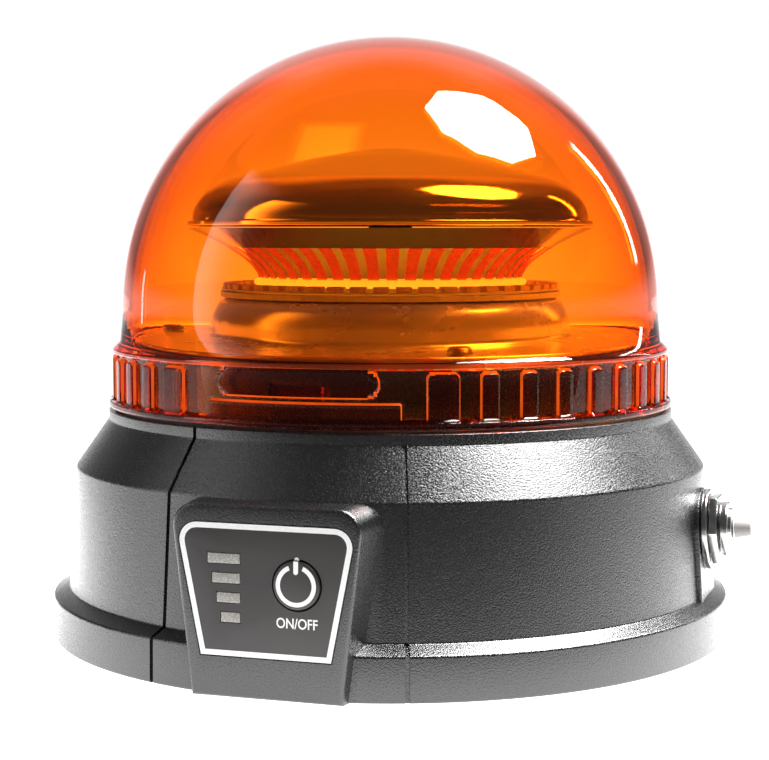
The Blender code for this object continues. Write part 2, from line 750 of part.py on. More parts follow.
def leads(looks):
    """The internal wires; each one meets a board square to it."""
    under = BOARD_Z - GAP
    over = BOARD_Z + BOARD_THICK + GAP
    pin_end = PIN_END_Z - 2 * GAP
    socket_end = (SOCKET_X + pin_end, 0, SOCKET_Z + pin_end * sin(WALL_DRAFT))
    routes = {
        "battery_lead": [(-36, 22, 33), (-40, 20, 35), (-45, 14, 38), (-45, 14, under)],
        "charge_lead": [socket_end, (52, 3, 24), (48, 10, 36), (48, 10, under)],
        "panel_lead": [(2, -64.7, 24), (3, -60, 26), (4, -50, 36), (4, -50, under)],
        "engine_lead": [(8, 12, over), (8, 12, 48), (14, 9, 58), (*ENGINE_LEAD_AT, 68),
                        (*ENGINE_LEAD_AT, LED_BOARD_Z[0] - GAP)],
    }
    for name, knots in routes.items():
        lead(name, knots, 2, looks["red"])


def engine_base(look):
    """The bright floor under the dome and the hollow drum that carries the LED board."""
    shell = 1.5
    drum_round = arc(
        (DRUM_TOP_R, DRUM_ROUND_Z), DRUM_R - DRUM_TOP_R, DRUM_TOP_Z - DRUM_ROUND_Z, pi / 2, 0, 4
    )
    inside = DRUM_R - shell
    pilot_r, hub_r = 1.6, 4.0
    hub_foot = DRUM_TOP_Z - 5.5
    outline = [
        (pilot_r, DRUM_TOP_Z), *drum_round, (DRUM_R, FLOOR_Z[1]), (FLOOR_R, FLOOR_Z[1]),
        (FLOOR_R, FLOOR_Z[0]), (inside, FLOOR_Z[0]), (inside, DRUM_ROUND_Z - 0.5),
        (DRUM_TOP_R - shell, DRUM_TOP_Z - shell), (hub_r, DRUM_TOP_Z - shell),
        (hub_r, hub_foot), (pilot_r, hub_foot),
    ]
    base = turned("engine_base", outline, MID_SIDES)
    for i, place in enumerate(engine_screw_places()):
        hole = (f"floor_hole_{i + 1}", 1.8, FLOOR_Z[0] - 1, FLOOR_Z[1] + 1, SCREW_SIDES)
        cut(base, cylinder(*hole, None, cutters, place))
    cut(base, cylinder("lead_hole", 2.2, 70, 76, SCREW_SIDES, None, cutters, ENGINE_LEAD_AT))
    finish(base, look)


def led_ring(look):
    """A flexible ring of LED packages: every other step of the ring stands up as a package."""
    low, high = LED_RING_Z, LED_RING_Z + 0.4
    steps = 2 * LED_COUNT
    outline = [(LED_RING_R[1], high), (LED_RING_R[1], low), (LED_RING_R[0], low), (LED_RING_R[0], high)]
    ring = turned("led_ring", outline, steps)
    finish(ring, look)
    shape = bmesh.new()
    shape.from_mesh(ring.data)
    tops = [face for face in shape.faces if face.normal.z > 0.9]
    tops.sort(key=lambda face: atan2(*face.calc_center_median().yx))
    for face in tops[::2]:
        raised = bmesh.ops.extrude_discrete_faces(shape, faces=[face])["faces"]
        bmesh.ops.translate(shape, vec=(0, 0, 1.1 * MM), verts=raised[0].verts)
    shape.to_mesh(ring.data)
    shape.free()


def horn_radius(height):
    """The horn's outer radius at a height: a concave quarter curve from foot to rim."""
    share = (height - HORN_Z[0]) / (HORN_Z[1] - HORN_Z[0])
    return HORN_FOOT_R + (HORN_RIM_R - HORN_FOOT_R) * share ** 1.5


def horn_reflector(look):
    thick = 1.2
    steps = 6
    heights = [HORN_Z[1] + (HORN_Z[0] - HORN_Z[1]) * i / steps for i in range(steps + 1)]
    outside = [(horn_radius(z), z) for z in heights]
    inside = [(r - thick, z + 0.5 * thick) for r, z in outside[1:]][::-1]
    foot = [(HORN_FOOT_R, LED_RING_Z), (HORN_FOOT_R - thick, LED_RING_Z)]
    top = [(HORN_RIM_R - 1.5 * thick, HORN_Z[1])]
    finish(turned("horn_reflector", outside + foot + inside + top, MID_SIDES), look)


def light_cap(look):
    """The round cover over the horn, with the hollow post that its screw runs down."""
    thick = 1.8
    shoulder = [(LIGHT_CAP_R, LIGHT_CAP_Z[1]), (42.0, 96.0), (33.8, 100.6), (17.4, 104.9)]
    crown = [(6.5, LIGHT_CAP_TOP_Z), (5.0, LIGHT_CAP_TOP_Z), (4.4, 105.4), (1.7, 105.4)]
    under = [(r - thick * 0.6, z - thick) for r, z in shoulder]
    outline = (
        crown[::-1] + shoulder[::-1]
        + [(LIGHT_CAP_R, LIGHT_CAP_Z[0]), (LIGHT_CAP_R - thick, LIGHT_CAP_Z[0])]
        + under + [(5.2, 103.6), (4.6, LED_BOARD_Z[1] + GAP), (1.7, LED_BOARD_Z[1] + GAP)]
    )
    finish(turned("light_cap", outline, MID_SIDES), look)


def light_engine(looks):
    engine_base(looks["reflector"])
    board = cylinder("led_board", LED_BOARD_R, *LED_BOARD_Z, MID_SIDES)
    cut(board, cylinder("led_board_hole", 1.7, 70, 80, SCREW_SIDES, None, cutters))
    finish(board, looks["board"])
    led_ring(looks["window"])
    horn_reflector(looks["reflector"])
    light_cap(looks["lens"])
    dish = LIGHT_CAP_TOP_Z - 1.2
    length = dish - LED_BOARD_Z[0] + 2.9
    screw("light_cap_screw", (0, 0), dish, (2.9, 1.4), (1.3, length), looks["steel"])
    for i, place in enumerate(engine_screw_places()):
        seat = FLOOR_Z[1] + GAP
        sizes = (ENGINE_SCREW_HEAD, ENGINE_SCREW_SHANK)
        screw(f"engine_screw_{i + 1}", place, seat, *sizes, looks["steel"])


def dome(looks):
    """The amber lens, its grip collar and the bayonet lugs inside its skirt."""
    bore_r = DOME_R - DOME_WALL
    outside = arc((0, DOME_SPRING_Z), DOME_R, DOME_R, pi / 2, 0, 8)
    outside += [
        (DOME_FOOT_R, COLLAR_Z[1] + 0.6), (COLLAR_R, COLLAR_Z[1]),
        (COLLAR_R, COLLAR_Z[0] + LIP_HEIGHT), (DECK_R, COLLAR_Z[0] + LIP_HEIGHT),
        (DECK_R, COLLAR_Z[0]),
    ]
    inside = [(SKIRT_BORE_R, COLLAR_Z[0]), (SKIRT_BORE_R, COLLAR_Z[1]), (58.0, COLLAR_Z[1] + 0.6)]
    inside += arc((0, DOME_SPRING_Z), bore_r, bore_r, 0, pi / 2, 7)
    outside[0] = (0, DOME_SPRING_Z + DOME_R)
    inside[-1] = (0, DOME_SPRING_Z + bore_r)
    lens = turned("dome", outside + inside, BIG_SIDES)
    inner_r = SPIGOT_R - LUG_REACH + 0.4
    for i, angle in enumerate(ring_angles(LUG_COUNT)):
        outline = sector(inner_r, SKIRT_BORE_R + 0.6, angle - LUG_HALF, angle + LUG_HALF, 3)
        join(lens, slab(f"dome_lug_{i + 1}", outline, *LUG_Z, None, cutters))
    finish(lens, looks["lens"])
    low = DECK_Z - SEAL_GROOVE[2] + GAP
    high = COLLAR_Z[0] - GAP
    r0, r1 = SEAL_GROOVE[0] + GAP, SEAL_GROOVE[1] - GAP
    seal = [(r0, high), (r1, high), (r1, low), (r0, low)]
    finish(turned("dome_gasket", seal, BIG_SIDES), looks["rubber"])


def build():
    clear_scene()
    looks = {
        "housing": material("housing", BLACK_PLASTIC, 0.42),
        "label": material("label", LABEL_GREY, 0.5),
        "window": material("window", PALE_GREY, 0.4),
        "lens": material("amber_lens", AMBER, 0.05, transmission=0.9),
        "reflector": material("reflector", STEEL, 0.15, 1.0),
        "chrome": material("chrome", STEEL, 0.12, 1.0),
        "steel": material("steel", STEEL, 0.35, 1.0),
        "rubber": material("rubber", RUBBER, 0.7),
        "board": material("board", BOARD_GREEN, 0.5),
        "cell": material("cell", CELL_BLUE, 0.4),
        "copper": material("copper", COPPER, 0.3, 1.0),
        "red": material("red_wire", (0.5, 0.02, 0.02), 0.5),
        "magnet": material("magnet", (0.06, 0.06, 0.065), 0.6),
    }
    panel = frame("panel_frame", (0, PANEL_Y, 0), (pi / 2, 0, 0))
    button_axis = frame("button_axis", (BUTTON_U, PANEL_Y, BUTTON_Z), (pi / 2, 0, 0))
    lean = (0, pi / 2 - WALL_DRAFT, 0)
    socket = frame("socket_axis", (SOCKET_X, 0, SOCKET_Z), lean)
    cap_axis = frame("cap_axis", (SOCKET_X, 0, SOCKET_Z), lean)
    shaping, through = panel_cutters(panel)
    base_housing(panel, shaping + through, socket, looks["housing"])
    base_plate(looks["housing"])
    magnet(looks["steel"], looks["magnet"], looks["rubber"])
    base_fasteners(looks["steel"], looks["rubber"])
    panel_parts(panel, through, looks)
    power_switch(button_axis, looks)
    charging_socket(socket, looks)
    charge_cap(cap_axis, looks)
    battery(looks)
    control_board(looks)
    leads(looks)
    light_engine(looks)
    dome(looks)


build()
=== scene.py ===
"""Looks of the amber warning beacon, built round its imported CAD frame.

Lengths below are millimetres unless they say otherwise; every mesh is scaled to metres as it is made.
Angles round the beacon are counted from +X; the control panel faces -Y, so it is at -90 degrees.
"""

from math import atan2, cos, hypot, log, pi, radians, sin, tan

import bmesh
import bpy
import numpy as np
from mathutils import Matrix, Vector


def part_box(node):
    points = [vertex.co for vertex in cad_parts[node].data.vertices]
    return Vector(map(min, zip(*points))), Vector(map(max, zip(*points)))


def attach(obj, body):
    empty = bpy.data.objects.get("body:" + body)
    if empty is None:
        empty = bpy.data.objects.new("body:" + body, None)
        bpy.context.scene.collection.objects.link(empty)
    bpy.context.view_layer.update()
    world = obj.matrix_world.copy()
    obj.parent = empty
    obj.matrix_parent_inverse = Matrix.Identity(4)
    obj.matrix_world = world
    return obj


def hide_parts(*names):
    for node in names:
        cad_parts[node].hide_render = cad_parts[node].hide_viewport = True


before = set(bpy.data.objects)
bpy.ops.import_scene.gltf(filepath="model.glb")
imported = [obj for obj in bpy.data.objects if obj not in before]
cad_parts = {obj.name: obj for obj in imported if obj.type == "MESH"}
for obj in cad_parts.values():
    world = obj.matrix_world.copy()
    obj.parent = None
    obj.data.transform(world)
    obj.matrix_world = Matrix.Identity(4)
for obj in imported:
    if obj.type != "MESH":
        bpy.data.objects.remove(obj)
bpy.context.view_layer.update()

MM = 0.001
FINE = 240           # facets round the big turned pieces
MEDIUM = 96
SMALL = 48
FRONT = -pi / 2      # the panel's direction


def node_box(node):
    """A CAD node's low and high corners in millimetres."""
    low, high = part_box(node)
    return Vector(low) / MM, Vector(high) / MM


# ---- shape tools

def new_piece(name, mesh):
    piece = bpy.data.objects.new(name, mesh)
    bpy.context.scene.collection.objects.link(piece)
    return piece


def mesh_of(name, points, faces):
    mesh = bpy.data.meshes.new(name)
    mesh.from_pydata([tuple(float(v) * MM for v in p) for p in points], [], faces)
    mesh.validate()
    return mesh


def solid(name, mesh, matrix=None, merge=False):
    """A new piece of a closed mesh, its faces turned outward."""
    shape = bmesh.new()
    shape.from_mesh(mesh)
    if merge:
        bmesh.ops.remove_doubles(shape, verts=shape.verts, dist=1e-7)
    bmesh.ops.recalc_face_normals(shape, faces=shape.faces)
    shape.to_mesh(mesh)
    shape.free()
    if matrix is not None:
        mesh.transform(matrix)
    return new_piece(name, mesh)


def smooth(piece, angle=35):
    piece.data.shade_smooth()
    piece.data.set_sharp_from_angle(angle=radians(angle))
    return piece


def arc(centre, across, up, start, end, steps):
    """Points on an ellipse with half sizes across and up."""
    angles = [start + (end - start) * i / steps for i in range(steps + 1)]
    return [(centre[0] + across * cos(a), centre[1] + up * sin(a)) for a in angles]


def filleted(corners, radii, steps=4, closed=True):
    """The outline through corners, each rounded by its own radius; 0 keeps a corner sharp."""
    outline = []
    count = len(corners)
    for i in range(count):
        radius = radii[i] if isinstance(radii, (list, tuple)) else radii
        corner = Vector(corners[i])
        end_point = not closed and i in (0, count - 1)
        if not radius or end_point:
            outline.append(tuple(corner))
            continue
        before = Vector(corners[i - 1]) - corner
        after = Vector(corners[(i + 1) % count]) - corner
        half = before.angle(after) / 2
        if half > radians(89):
            outline.append(tuple(corner))
            continue
        radius = min(radius, 0.45 * min(before.length, after.length) * tan(half))
        before.normalize()
        after.normalize()
        centre = corner + (before + after).normalized() * radius / sin(half)
        start = corner + before * radius / tan(half) - centre
        swing = pi - 2 * half
        if before.x * after.y - before.y * after.x > 0:
            swing = -swing
        first = atan2(start.y, start.x)
        outline += arc(centre, radius, radius, first, first + swing, steps)
    return outline


def lathe(name, outline, facets=FINE, matrix=None, relief=None, angles=None):
    """A closed turned solid from a (radius, height) loop, outer side running down.

    relief(angles, heights, radii) may return an outward shift for each grid point.
    """
    if angles is None:
        angles = np.linspace(0, 2 * pi, facets, endpoint=False)
    radii = np.array([p[0] for p in outline], float)
    heights = np.array([p[1] for p in outline], float)
    grid_r = np.repeat(radii[:, None], len(angles), axis=1)
    if relief is not None:
        grid_r = grid_r + relief(angles[None, :], heights[:, None], radii[:, None])
    x = grid_r * np.cos(angles)[None, :]
    y = grid_r * np.sin(angles)[None, :]
    z = np.repeat(heights[:, None], len(angles), axis=1)
    points = np.stack([x, y, z], axis=-1).reshape(-1, 3)
    rows, columns = len(outline), len(angles)
    faces = []
    for i in range(rows):
        a, b = i * columns, ((i + 1) % rows) * columns
        if radii[i] == 0 and radii[(i + 1) % rows] == 0:
            continue
        for j in range(columns):
            k = (j + 1) % columns
            faces.append((a + j, b + j, b + k, a + k))
    mesh = bpy.data.meshes.new(name)
    mesh.from_pydata((points * MM).tolist(), [], faces)
    return solid(name, mesh, matrix, merge=True)


def band(a, b, count):
    """Quads from the ring of points that starts at a to the ring that starts at b."""
    return [(a + j, a + (j + 1) % count, b + (j + 1) % count, b + j) for j in range(count)]


def loft(name, rings, matrix=None):
    """A closed solid through rings of equal point count, capped at both ends."""
    count = len(rings[0])
    points = [point for ring in rings for point in ring]
    faces = [tuple(reversed(range(count)))]
    for i in range(len(rings) - 1):
        faces += band(i * count, (i + 1) * count, count)
    faces.append(tuple(range(len(points) - count, len(points))))
    return solid(name, mesh_of(name, points, faces), matrix)


def inset(outline, by):
    """A convex outline moved inward by a distance."""
    middle = sum((Vector(p) for p in outline), Vector((0, 0))) / len(outline)
    moved = []
    for before, point, after in zip(outline[-1:] + outline, outline, outline[1:] + outline[:1]):
        edge_in = Vector(point) - Vector(before)
        edge_out = Vector(after) - Vector(point)
        side = edge_in.normalized() + edge_out.normalized()
        out = Vector((side.y, -side.x)).normalized()
        if out.dot(Vector(point) - middle) < 0:
            out = -out
        square = max(0.3, cos(edge_in.angle(edge_out) / 2))
        moved.append(tuple(Vector(point) - out * by / square))
    return moved


def plate(name, outline, low, high, edge=0.0, matrix=None, steps=3):
    """A flat outline in XY from low to high, with a rounded top edge."""
    rings = [[(x, y, low) for x, y in outline]]
    if edge:
        for i in range(steps + 1):
            turn = pi / 2 * i / steps
            by = edge * (1 - cos(turn))
            z = high - edge + edge * sin(turn)
            rings.append([(x, y, z) for x, y in (inset(outline, by) if by else outline)])
    else:
        rings.append([(x, y, high) for x, y in outline])
    return loft(name, rings, matrix)


def rectangle(u0, v0, u1, v1, radius=0.0, steps=3):
    corners = [(u0, v0), (u1, v0), (u1, v1), (u0, v1)]
    return filleted(corners, radius, steps) if radius else corners


def combine(piece, tools, operation):
    """Joins or cuts with each tool and keeps the result as the piece's own mesh."""
    for other in tools:
        made = piece.modifiers.new(other.name, "BOOLEAN")
        made.operation = operation
        made.object = other
        made.solver = "EXACT"
    graph = bpy.context.evaluated_depsgraph_get()
    mesh = bpy.data.meshes.new_from_object(piece.evaluated_get(graph))
    piece.modifiers.clear()
    piece.data = mesh
    for other in tools:
        bpy.data.objects.remove(other, do_unlink=True)


def shift(x, y, z):
    """A move in millimetres, as a matrix in metres."""
    return Matrix.Translation((x * MM, y * MM, z * MM))


def polar(radius, angle):
    return radius * cos(angle), radius * sin(angle)


def disc(name, radius, low, high, facets=SMALL, matrix=None):
    return lathe(name, [(0, high), (radius, high), (radius, low), (0, low)], facets, matrix)


def ring_sector(r0, r1, start, end, steps=10):
    return arc((0, 0), r1, r1, start, end, steps) + arc((0, 0), r0, r0, end, start, steps)


def at_place(radius, angle):
    return shift(*polar(radius, angle), 0)


def dress(piece, look):
    piece.data.materials.clear()
    piece.data.materials.append(LOOKS[look])


def finish_piece(piece, look, body, replaced=(), angle=35):
    """Smooths and dresses a piece, and says which body it rides and what it replaces."""
    smooth(piece, angle)
    dress(piece, look)
    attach(piece, body)
    if replaced:
        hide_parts(*replaced)
    return piece


# ---- materials

class Graph:
    """A node tree that grows by named steps."""

    def __init__(self, tree):
        self.nodes = tree.nodes
        self.links = tree.links

    def link(self, source, target):
        self.links.new(source, target)

    def math(self, operation, *values):
        node = self.nodes.new("ShaderNodeMath")
        node.operation = operation
        for socket, value in zip(node.inputs, values):
            if isinstance(value, (int, float)):
                socket.default_value = value
            else:
                self.link(value, socket)
        return node.outputs["Value"]

    def product(self, first, *others):
        for other in others:
            first = self.math("MULTIPLY", first, other)
        return first

    def ramp(self, source, start, end, low=0.0, high=1.0):
        """A smooth step from low to high as the source runs from start to end."""
        node = self.nodes.new("ShaderNodeMapRange")
        node.interpolation_type = "SMOOTHSTEP"
        for socket, value in zip(("From Min", "From Max", "To Min", "To Max"), (start, end, low, high)):
            node.inputs[socket].default_value = value
        self.link(source, node.inputs["Value"])
        return node.outputs["Result"]


LOOKS = {}


class Look(Graph):
    """A Principled material whose nodes are added by name, kept in LOOKS."""

    def __init__(self, name, colour, roughness, metallic=0.0):
        made = bpy.data.materials.new(name)
        made.use_nodes = True
        super().__init__(made.node_tree)
        LOOKS[name] = made
        self.shader = self.nodes["Principled BSDF"]
        self.set("Base Color", (*colour, 1))
        self.set("Roughness", roughness)
        self.set("Metallic", metallic)
        self.place = self.nodes.new("ShaderNodeTexCoord").outputs["Object"]

    def set(self, socket, value):
        self.shader.inputs[socket].default_value = value

    def noise(self, scale, detail=2.0, roughness=0.5, stretch=None):
        node = self.nodes.new("ShaderNodeTexNoise")
        node.inputs["Scale"].default_value = scale
        node.inputs["Detail"].default_value = detail
        node.inputs["Roughness"].default_value = roughness
        source = self.place
        if stretch:
            mapping = self.nodes.new("ShaderNodeMapping")
            mapping.inputs["Scale"].default_value = stretch
            self.link(source, mapping.inputs["Vector"])
            source = mapping.outputs["Vector"]
        self.link(source, node.inputs["Vector"])
        return node.outputs["Fac"]

    def cells(self, scale):
        node = self.nodes.new("ShaderNodeTexVoronoi")
        node.inputs["Scale"].default_value = scale
        self.link(self.place, node.inputs["Vector"])
        return node.outputs["Distance"]

    def colours(self, source, stops):
        node = self.nodes.new("ShaderNodeValToRGB")
        ramp = node.color_ramp
        while len(ramp.elements) < len(stops):
            ramp.elements.new(0.5)
        for element, (at, colour) in zip(ramp.elements, stops):
            element.position = at
            element.color = (*colour, 1)
        self.link(source, node.inputs["Fac"])
        self.link(node.outputs["Color"], self.shader.inputs["Base Color"])

    def mottle(self, source, dark, light):
        self.colours(source, [(0.3, dark), (0.7, light)])

    def speckle(self, scale, dark, light, rough_scale, low, high):
        """Mottled colour at one scale and mottled roughness at another."""
        self.mottle(self.noise(scale, 2), dark, light)
        self.rough(self.noise(rough_scale, 2), low, high)

    def glow(self, colour, strength):
        self.set("Emission Color", (*colour, 1))
        self.set("Emission Strength", strength)

    def rough(self, source, low, high):
        self.link(self.ramp(source, 0.3, 0.7, low, high), self.shader.inputs["Roughness"])

    def bump(self, source, strength, distance):
        node = self.nodes.new("ShaderNodeBump")
        node.inputs["Strength"].default_value = strength
        node.inputs["Distance"].default_value = distance
        self.link(source, node.inputs["Height"])
        self.link(node.outputs["Normal"], self.shader.inputs["Normal"])


def textured_plastic(name, colour, roughness, grain, depth, strength, gloss=1.5):
    """Moulded plastic with a spark-eroded grain; gloss is its index of refraction."""
    look = Look(name, colour, roughness)
    look.set("IOR", gloss)
    fine = look.noise(grain, 3, 0.6)
    broad = look.noise(30, 3)
    darker = tuple(c * 0.8 for c in colour)
    lighter = tuple(c * 1.25 for c in colour)
    look.colours(broad, [(0.35, darker), (0.65, lighter)])
    look.rough(fine, roughness - 0.07, roughness + 0.1)
    look.bump(fine, strength, depth)


AMBER_PER_WALL = (0.955, 0.465, 0.07)     # what one wall of the lens lets through
AMBER_DENSITY = 1200
LENS_WALL = 2.0


def amber_lens():
    """Clear amber polycarbonate: a refracting skin round an absorbing body."""
    look = Look("amber_lens", (1.0, 0.97, 0.93), 0.0)
    look.set("Transmission Weight", 1.0)
    look.set("IOR", 1.33)
    haze = look.noise(90, 2)
    look.rough(haze, 0.0, 0.012)
    absorb = look.nodes.new("ShaderNodeVolumeAbsorption")
    per_metre = [-log(share) / (LENS_WALL * MM) for share in AMBER_PER_WALL]
    colour = [max(0.0, 1 - loss / AMBER_DENSITY) for loss in per_metre]
    absorb.inputs["Color"].default_value = (*colour, 1)
    absorb.inputs["Density"].default_value = AMBER_DENSITY
    look.link(absorb.outputs["Volume"], look.nodes["Material Output"].inputs["Volume"])


def amber_edge_glow():
    """The rounded edges of the collar's ribs, with a painted glow standing for the light led through the
    lens.
    """
    look = Look("amber_edge_glow", (0.45, 0.05, 0.005), 0.12)
    look.speckle(220, (0.3, 0.025, 0.003), (0.6, 0.08, 0.008), 900, 0.08, 0.18)
    look.glow((1.0, 0.12, 0.005), 0.48)


def ring_glow():
    """The bead at the horn's foot: a painted glow makes it a bright line, not light gathered from the
    LEDs.
    """
    look = Look("ring_glow", (0.95, 0.75, 0.4), 0.3)
    look.speckle(300, (0.9, 0.68, 0.34), (1.0, 0.82, 0.46), 900, 0.22, 0.38)
    look.glow((1.0, 0.8, 0.15), 1.3)


def bright_metal(name, colour, roughness, spread=0.05, grain=60, stretch=None, metallic=1.0):
    look = Look(name, colour, roughness, metallic)
    wear = look.noise(grain, 4, 0.6, stretch)
    look.rough(wear, max(0.02, roughness - spread), roughness + spread)
    look.bump(look.noise(grain * 12, 2, 0.5, stretch), 0.04, 0.00003)


def rubber(name, colour, roughness=0.7):
    look = Look(name, colour, roughness)
    speck = look.noise(1500, 3)
    look.mottle(look.noise(60, 2), colour, tuple(c * 1.5 for c in colour))
    look.rough(speck, roughness - 0.08, roughness + 0.1)
    look.bump(speck, 0.25, 0.00004)


def print_white():
    look = Look("white_print", (0.92, 0.92, 0.91), 0.45)
    speck = look.noise(2200, 2)
    look.mottle(speck, (0.88, 0.88, 0.87), (0.96, 0.96, 0.95))
    look.rough(speck, 0.4, 0.55)


def level_plastic():
    look = Look("level_plastic", (0.42, 0.4, 0.37), 0.35)
    glitter = look.cells(2800)
    look.colours(glitter, [(0.1, (0.55, 0.53, 0.5)), (0.5, (0.3, 0.285, 0.26))])
    look.bump(glitter, 0.5, 0.00008)


def board_green():
    look = Look("solder_mask", (0.015, 0.12, 0.05), 0.35)
    tracks = look.nodes.new("ShaderNodeTexBrick")
    tracks.inputs["Scale"].default_value = 220
    tracks.inputs["Mortar Size"].default_value = 0.06
    tracks.inputs["Color1"].default_value = (0.012, 0.1, 0.04, 1)
    tracks.inputs["Color2"].default_value = (0.018, 0.14, 0.06, 1)
    tracks.inputs["Mortar"].default_value = (0.05, 0.3, 0.13, 1)
    look.link(look.place, tracks.inputs["Vector"])
    look.link(tracks.outputs["Color"], look.shader.inputs["Base Color"])
    look.rough(look.noise(400, 2), 0.28, 0.42)


def shrink_wrap():
    look = Look("shrink_wrap", (0.03, 0.13, 0.42), 0.3)
    crease = look.noise(120, 3, 0.5, (1, 6, 6))
    look.mottle(crease, (0.025, 0.1, 0.36), (0.04, 0.16, 0.48))
    look.rough(crease, 0.22, 0.4)
    look.bump(crease, 0.15, 0.0001)


def phosphor():
    look = Look("led_phosphor", (0.85, 0.62, 0.2), 0.5)
    grain = look.noise(1800, 3)
    look.mottle(grain, (0.8, 0.55, 0.14), (0.9, 0.72, 0.3))
    look.rough(grain, 0.4, 0.6)


def ferrite():
    look = Look("ferrite", (0.05, 0.05, 0.052), 0.75)
    grit = look.noise(900, 4)
    look.mottle(grit, (0.035, 0.035, 0.037), (0.08, 0.08, 0.082))
    look.bump(grit, 0.3, 0.0001)


def table_white():
    """A pale table lit from below, more so behind the beacon, so that no shadow greys it."""
    look = Look("table_white", (0.1, 0.1, 0.1), 0.8)
    look.mottle(look.noise(4, 2), (0.09, 0.09, 0.09), (0.11, 0.11, 0.11))
    look.set("Emission Color", (1, 1, 1, 1))
    split = look.nodes.new("ShaderNodeSeparateXYZ")
    look.link(look.place, split.inputs[0])
    distance = look.nodes.new("ShaderNodeVectorMath")
    distance.operation = "LENGTH"
    look.link(look.place, distance.inputs[0])
    behind = look.ramp(split.outputs["Y"], -0.12, 0.06, 0.4, 1)
    near = look.ramp(distance.outputs["Value"], 0.18, 0.5, 2.6, 0)
    glow = look.math("MULTIPLY_ADD", behind, near, 0.9)
    look.link(glow, look.shader.inputs["Emission Strength"])


def board_white():
    look = Look("board_white", (0.75, 0.74, 0.7), 0.4)
    speck = look.noise(700, 2)
    look.mottle(speck, (0.7, 0.69, 0.65), (0.8, 0.79, 0.75))
    look.rough(speck, 0.32, 0.48)


def painted_led_reflection():
    """The horn's facets: the reflection of the LEDs that they face is painted into their red colour, with
    a faint painted glow.
    """
    look = Look("painted_led_reflection", (0.8, 0.12, 0.03), 0.3)
    look.speckle(300, (0.7, 0.09, 0.02), (0.9, 0.15, 0.04), 900, 0.22, 0.4)
    look.glow((1.0, 0.07, 0.0), 0.3)


def horn_throat_shade():
    """Glossy, with painted shade: the horn above its facets is coloured dark so that it looks dark under
    the cap.
    """
    look = Look("horn_throat_shade", (0.02, 0.01, 0.006), 0.1)
    look.set("IOR", 1.9)
    look.speckle(200, (0.015, 0.007, 0.004), (0.03, 0.014, 0.008), 700, 0.07, 0.15)


def make_looks():
    textured_plastic("housing_plastic", (0.0055, 0.0053, 0.0053), 0.2, 3000, 0.0001, 0.9, 1.8)
    textured_plastic("panel_label", (0.036, 0.032, 0.031), 0.4, 1500, 0.00002, 0.3)
    level_plastic()
    amber_lens()
    amber_edge_glow()
    bright_metal("reflector_metal", (0.94, 0.92, 0.88), 0.24, 0.05, metallic=0.68)
    bright_metal("cap_metal", (0.9, 0.84, 0.76), 0.1, 0.03)
    bright_metal("socket_chrome", (0.5, 0.495, 0.49), 0.2, 0.06, 200)
    bright_metal("steel", (0.5, 0.5, 0.52), 0.36, 0.1, 150, (1, 1, 8))
    ferrite()
    rubber("boot_rubber", (0.018, 0.018, 0.018))
    rubber("seal_rubber", (0.02, 0.02, 0.02), 0.6)
    rubber("grey_rubber", (0.22, 0.21, 0.2), 0.5)
    bright_metal("contact_brass", (0.78, 0.55, 0.22), 0.25)
    shrink_wrap()
    board_green()
    phosphor()
    painted_led_reflection()
    horn_throat_shade()
    ring_glow()
    board_white()
    table_white()
    rubber("wire", (0.3, 0.012, 0.01), 0.45)
    print_white()


# ---- housing

HOUSING_LOW, HOUSING_HIGH = node_box("base_housing")
DOME_LOW, DOME_HIGH = node_box("dome")
SPIGOT_TOP = HOUSING_HIGH.z
FOOT = HOUSING_LOW.z
FLANGE_R = -HOUSING_LOW.x
PANEL_Y = HOUSING_LOW.y
LIP_R = DOME_HIGH.x
COLLAR_FOOT = DOME_LOW.z
DECK = COLLAR_FOOT - 0.7
LEDGE = FOOT + 8.95
WALL_FOOT = FOOT + 10.6
WALL_TOP = FOOT + 37.0
NECK = DECK - 2.2
WALL_FOOT_R = FLANGE_R - 3.65
WALL_TOP_R = FLANGE_R - 5.4
SHELL = 2.6          # the housing's wall
SPIGOT_R = 58.1
SPIGOT_BORE = 53.5
GASKET_SEAT = (59.3, 61.5)
PLATE_BORE = 72.2
PLATE_SEAT = FOOT + 7
ENGINE_SCREWS = [(52.6, radians(-57) + i * 2 * pi / 3) for i in range(3)]
BASE_SCREWS = [(65.0, pi / 4 + i * pi / 2) for i in range(4)]


def housing_outline():
    """The turned shell: down the outside, up the inside, and round the spigot and gasket seat."""
    outside = [
        (LIP_R, DECK), (LIP_R, NECK), (WALL_TOP_R, WALL_TOP), (WALL_FOOT_R, WALL_FOOT),
        (FLANGE_R - 0.1, LEDGE), (FLANGE_R, FOOT),
    ]
    ceiling = DECK - 2.7
    seat_in, seat_out = GASKET_SEAT
    inside = [
        (PLATE_BORE, FOOT), (PLATE_BORE, PLATE_SEAT), (WALL_FOOT_R - SHELL, PLATE_SEAT),
        (WALL_FOOT_R - SHELL, WALL_FOOT), (WALL_TOP_R - SHELL, WALL_TOP - 1), (LIP_R - SHELL, ceiling),
        (SPIGOT_BORE, ceiling), (SPIGOT_BORE, SPIGOT_TOP), (SPIGOT_R, SPIGOT_TOP),
        (SPIGOT_R, DECK), (seat_in, DECK), (seat_in, DECK - 1), (seat_out, DECK - 1), (seat_out, DECK),
    ]
    radii = [0.3, 0.5, 1.2, 0.5, 0.7, 0.5] + [0.2, 0, 0, 0, 0, 0, 0, 0.4, 0.4, 0.2, 0, 0, 0, 0]
    return filleted(outside + inside, radii, 5)


def panel_matrix():
    """From panel (right, up, outward) millimetres to the beacon, in metres."""
    return shift(0, PANEL_Y, 0) @ Matrix.Rotation(pi / 2, 4, "X")


BLOCK_TOP_HALF = 19.5
BLOCK_DEPTH = 9.6
BLOCK_DRAFT = radians(10)


def keystone(low_half, low, top_half, top, corner):
    """A panel outline: wider above, with its two upper corners rounded."""
    corners = [(-low_half, low), (low_half, low), (top_half, top), (-top_half, top)]
    return filleted(corners, [0, 0, corner, corner], 8)


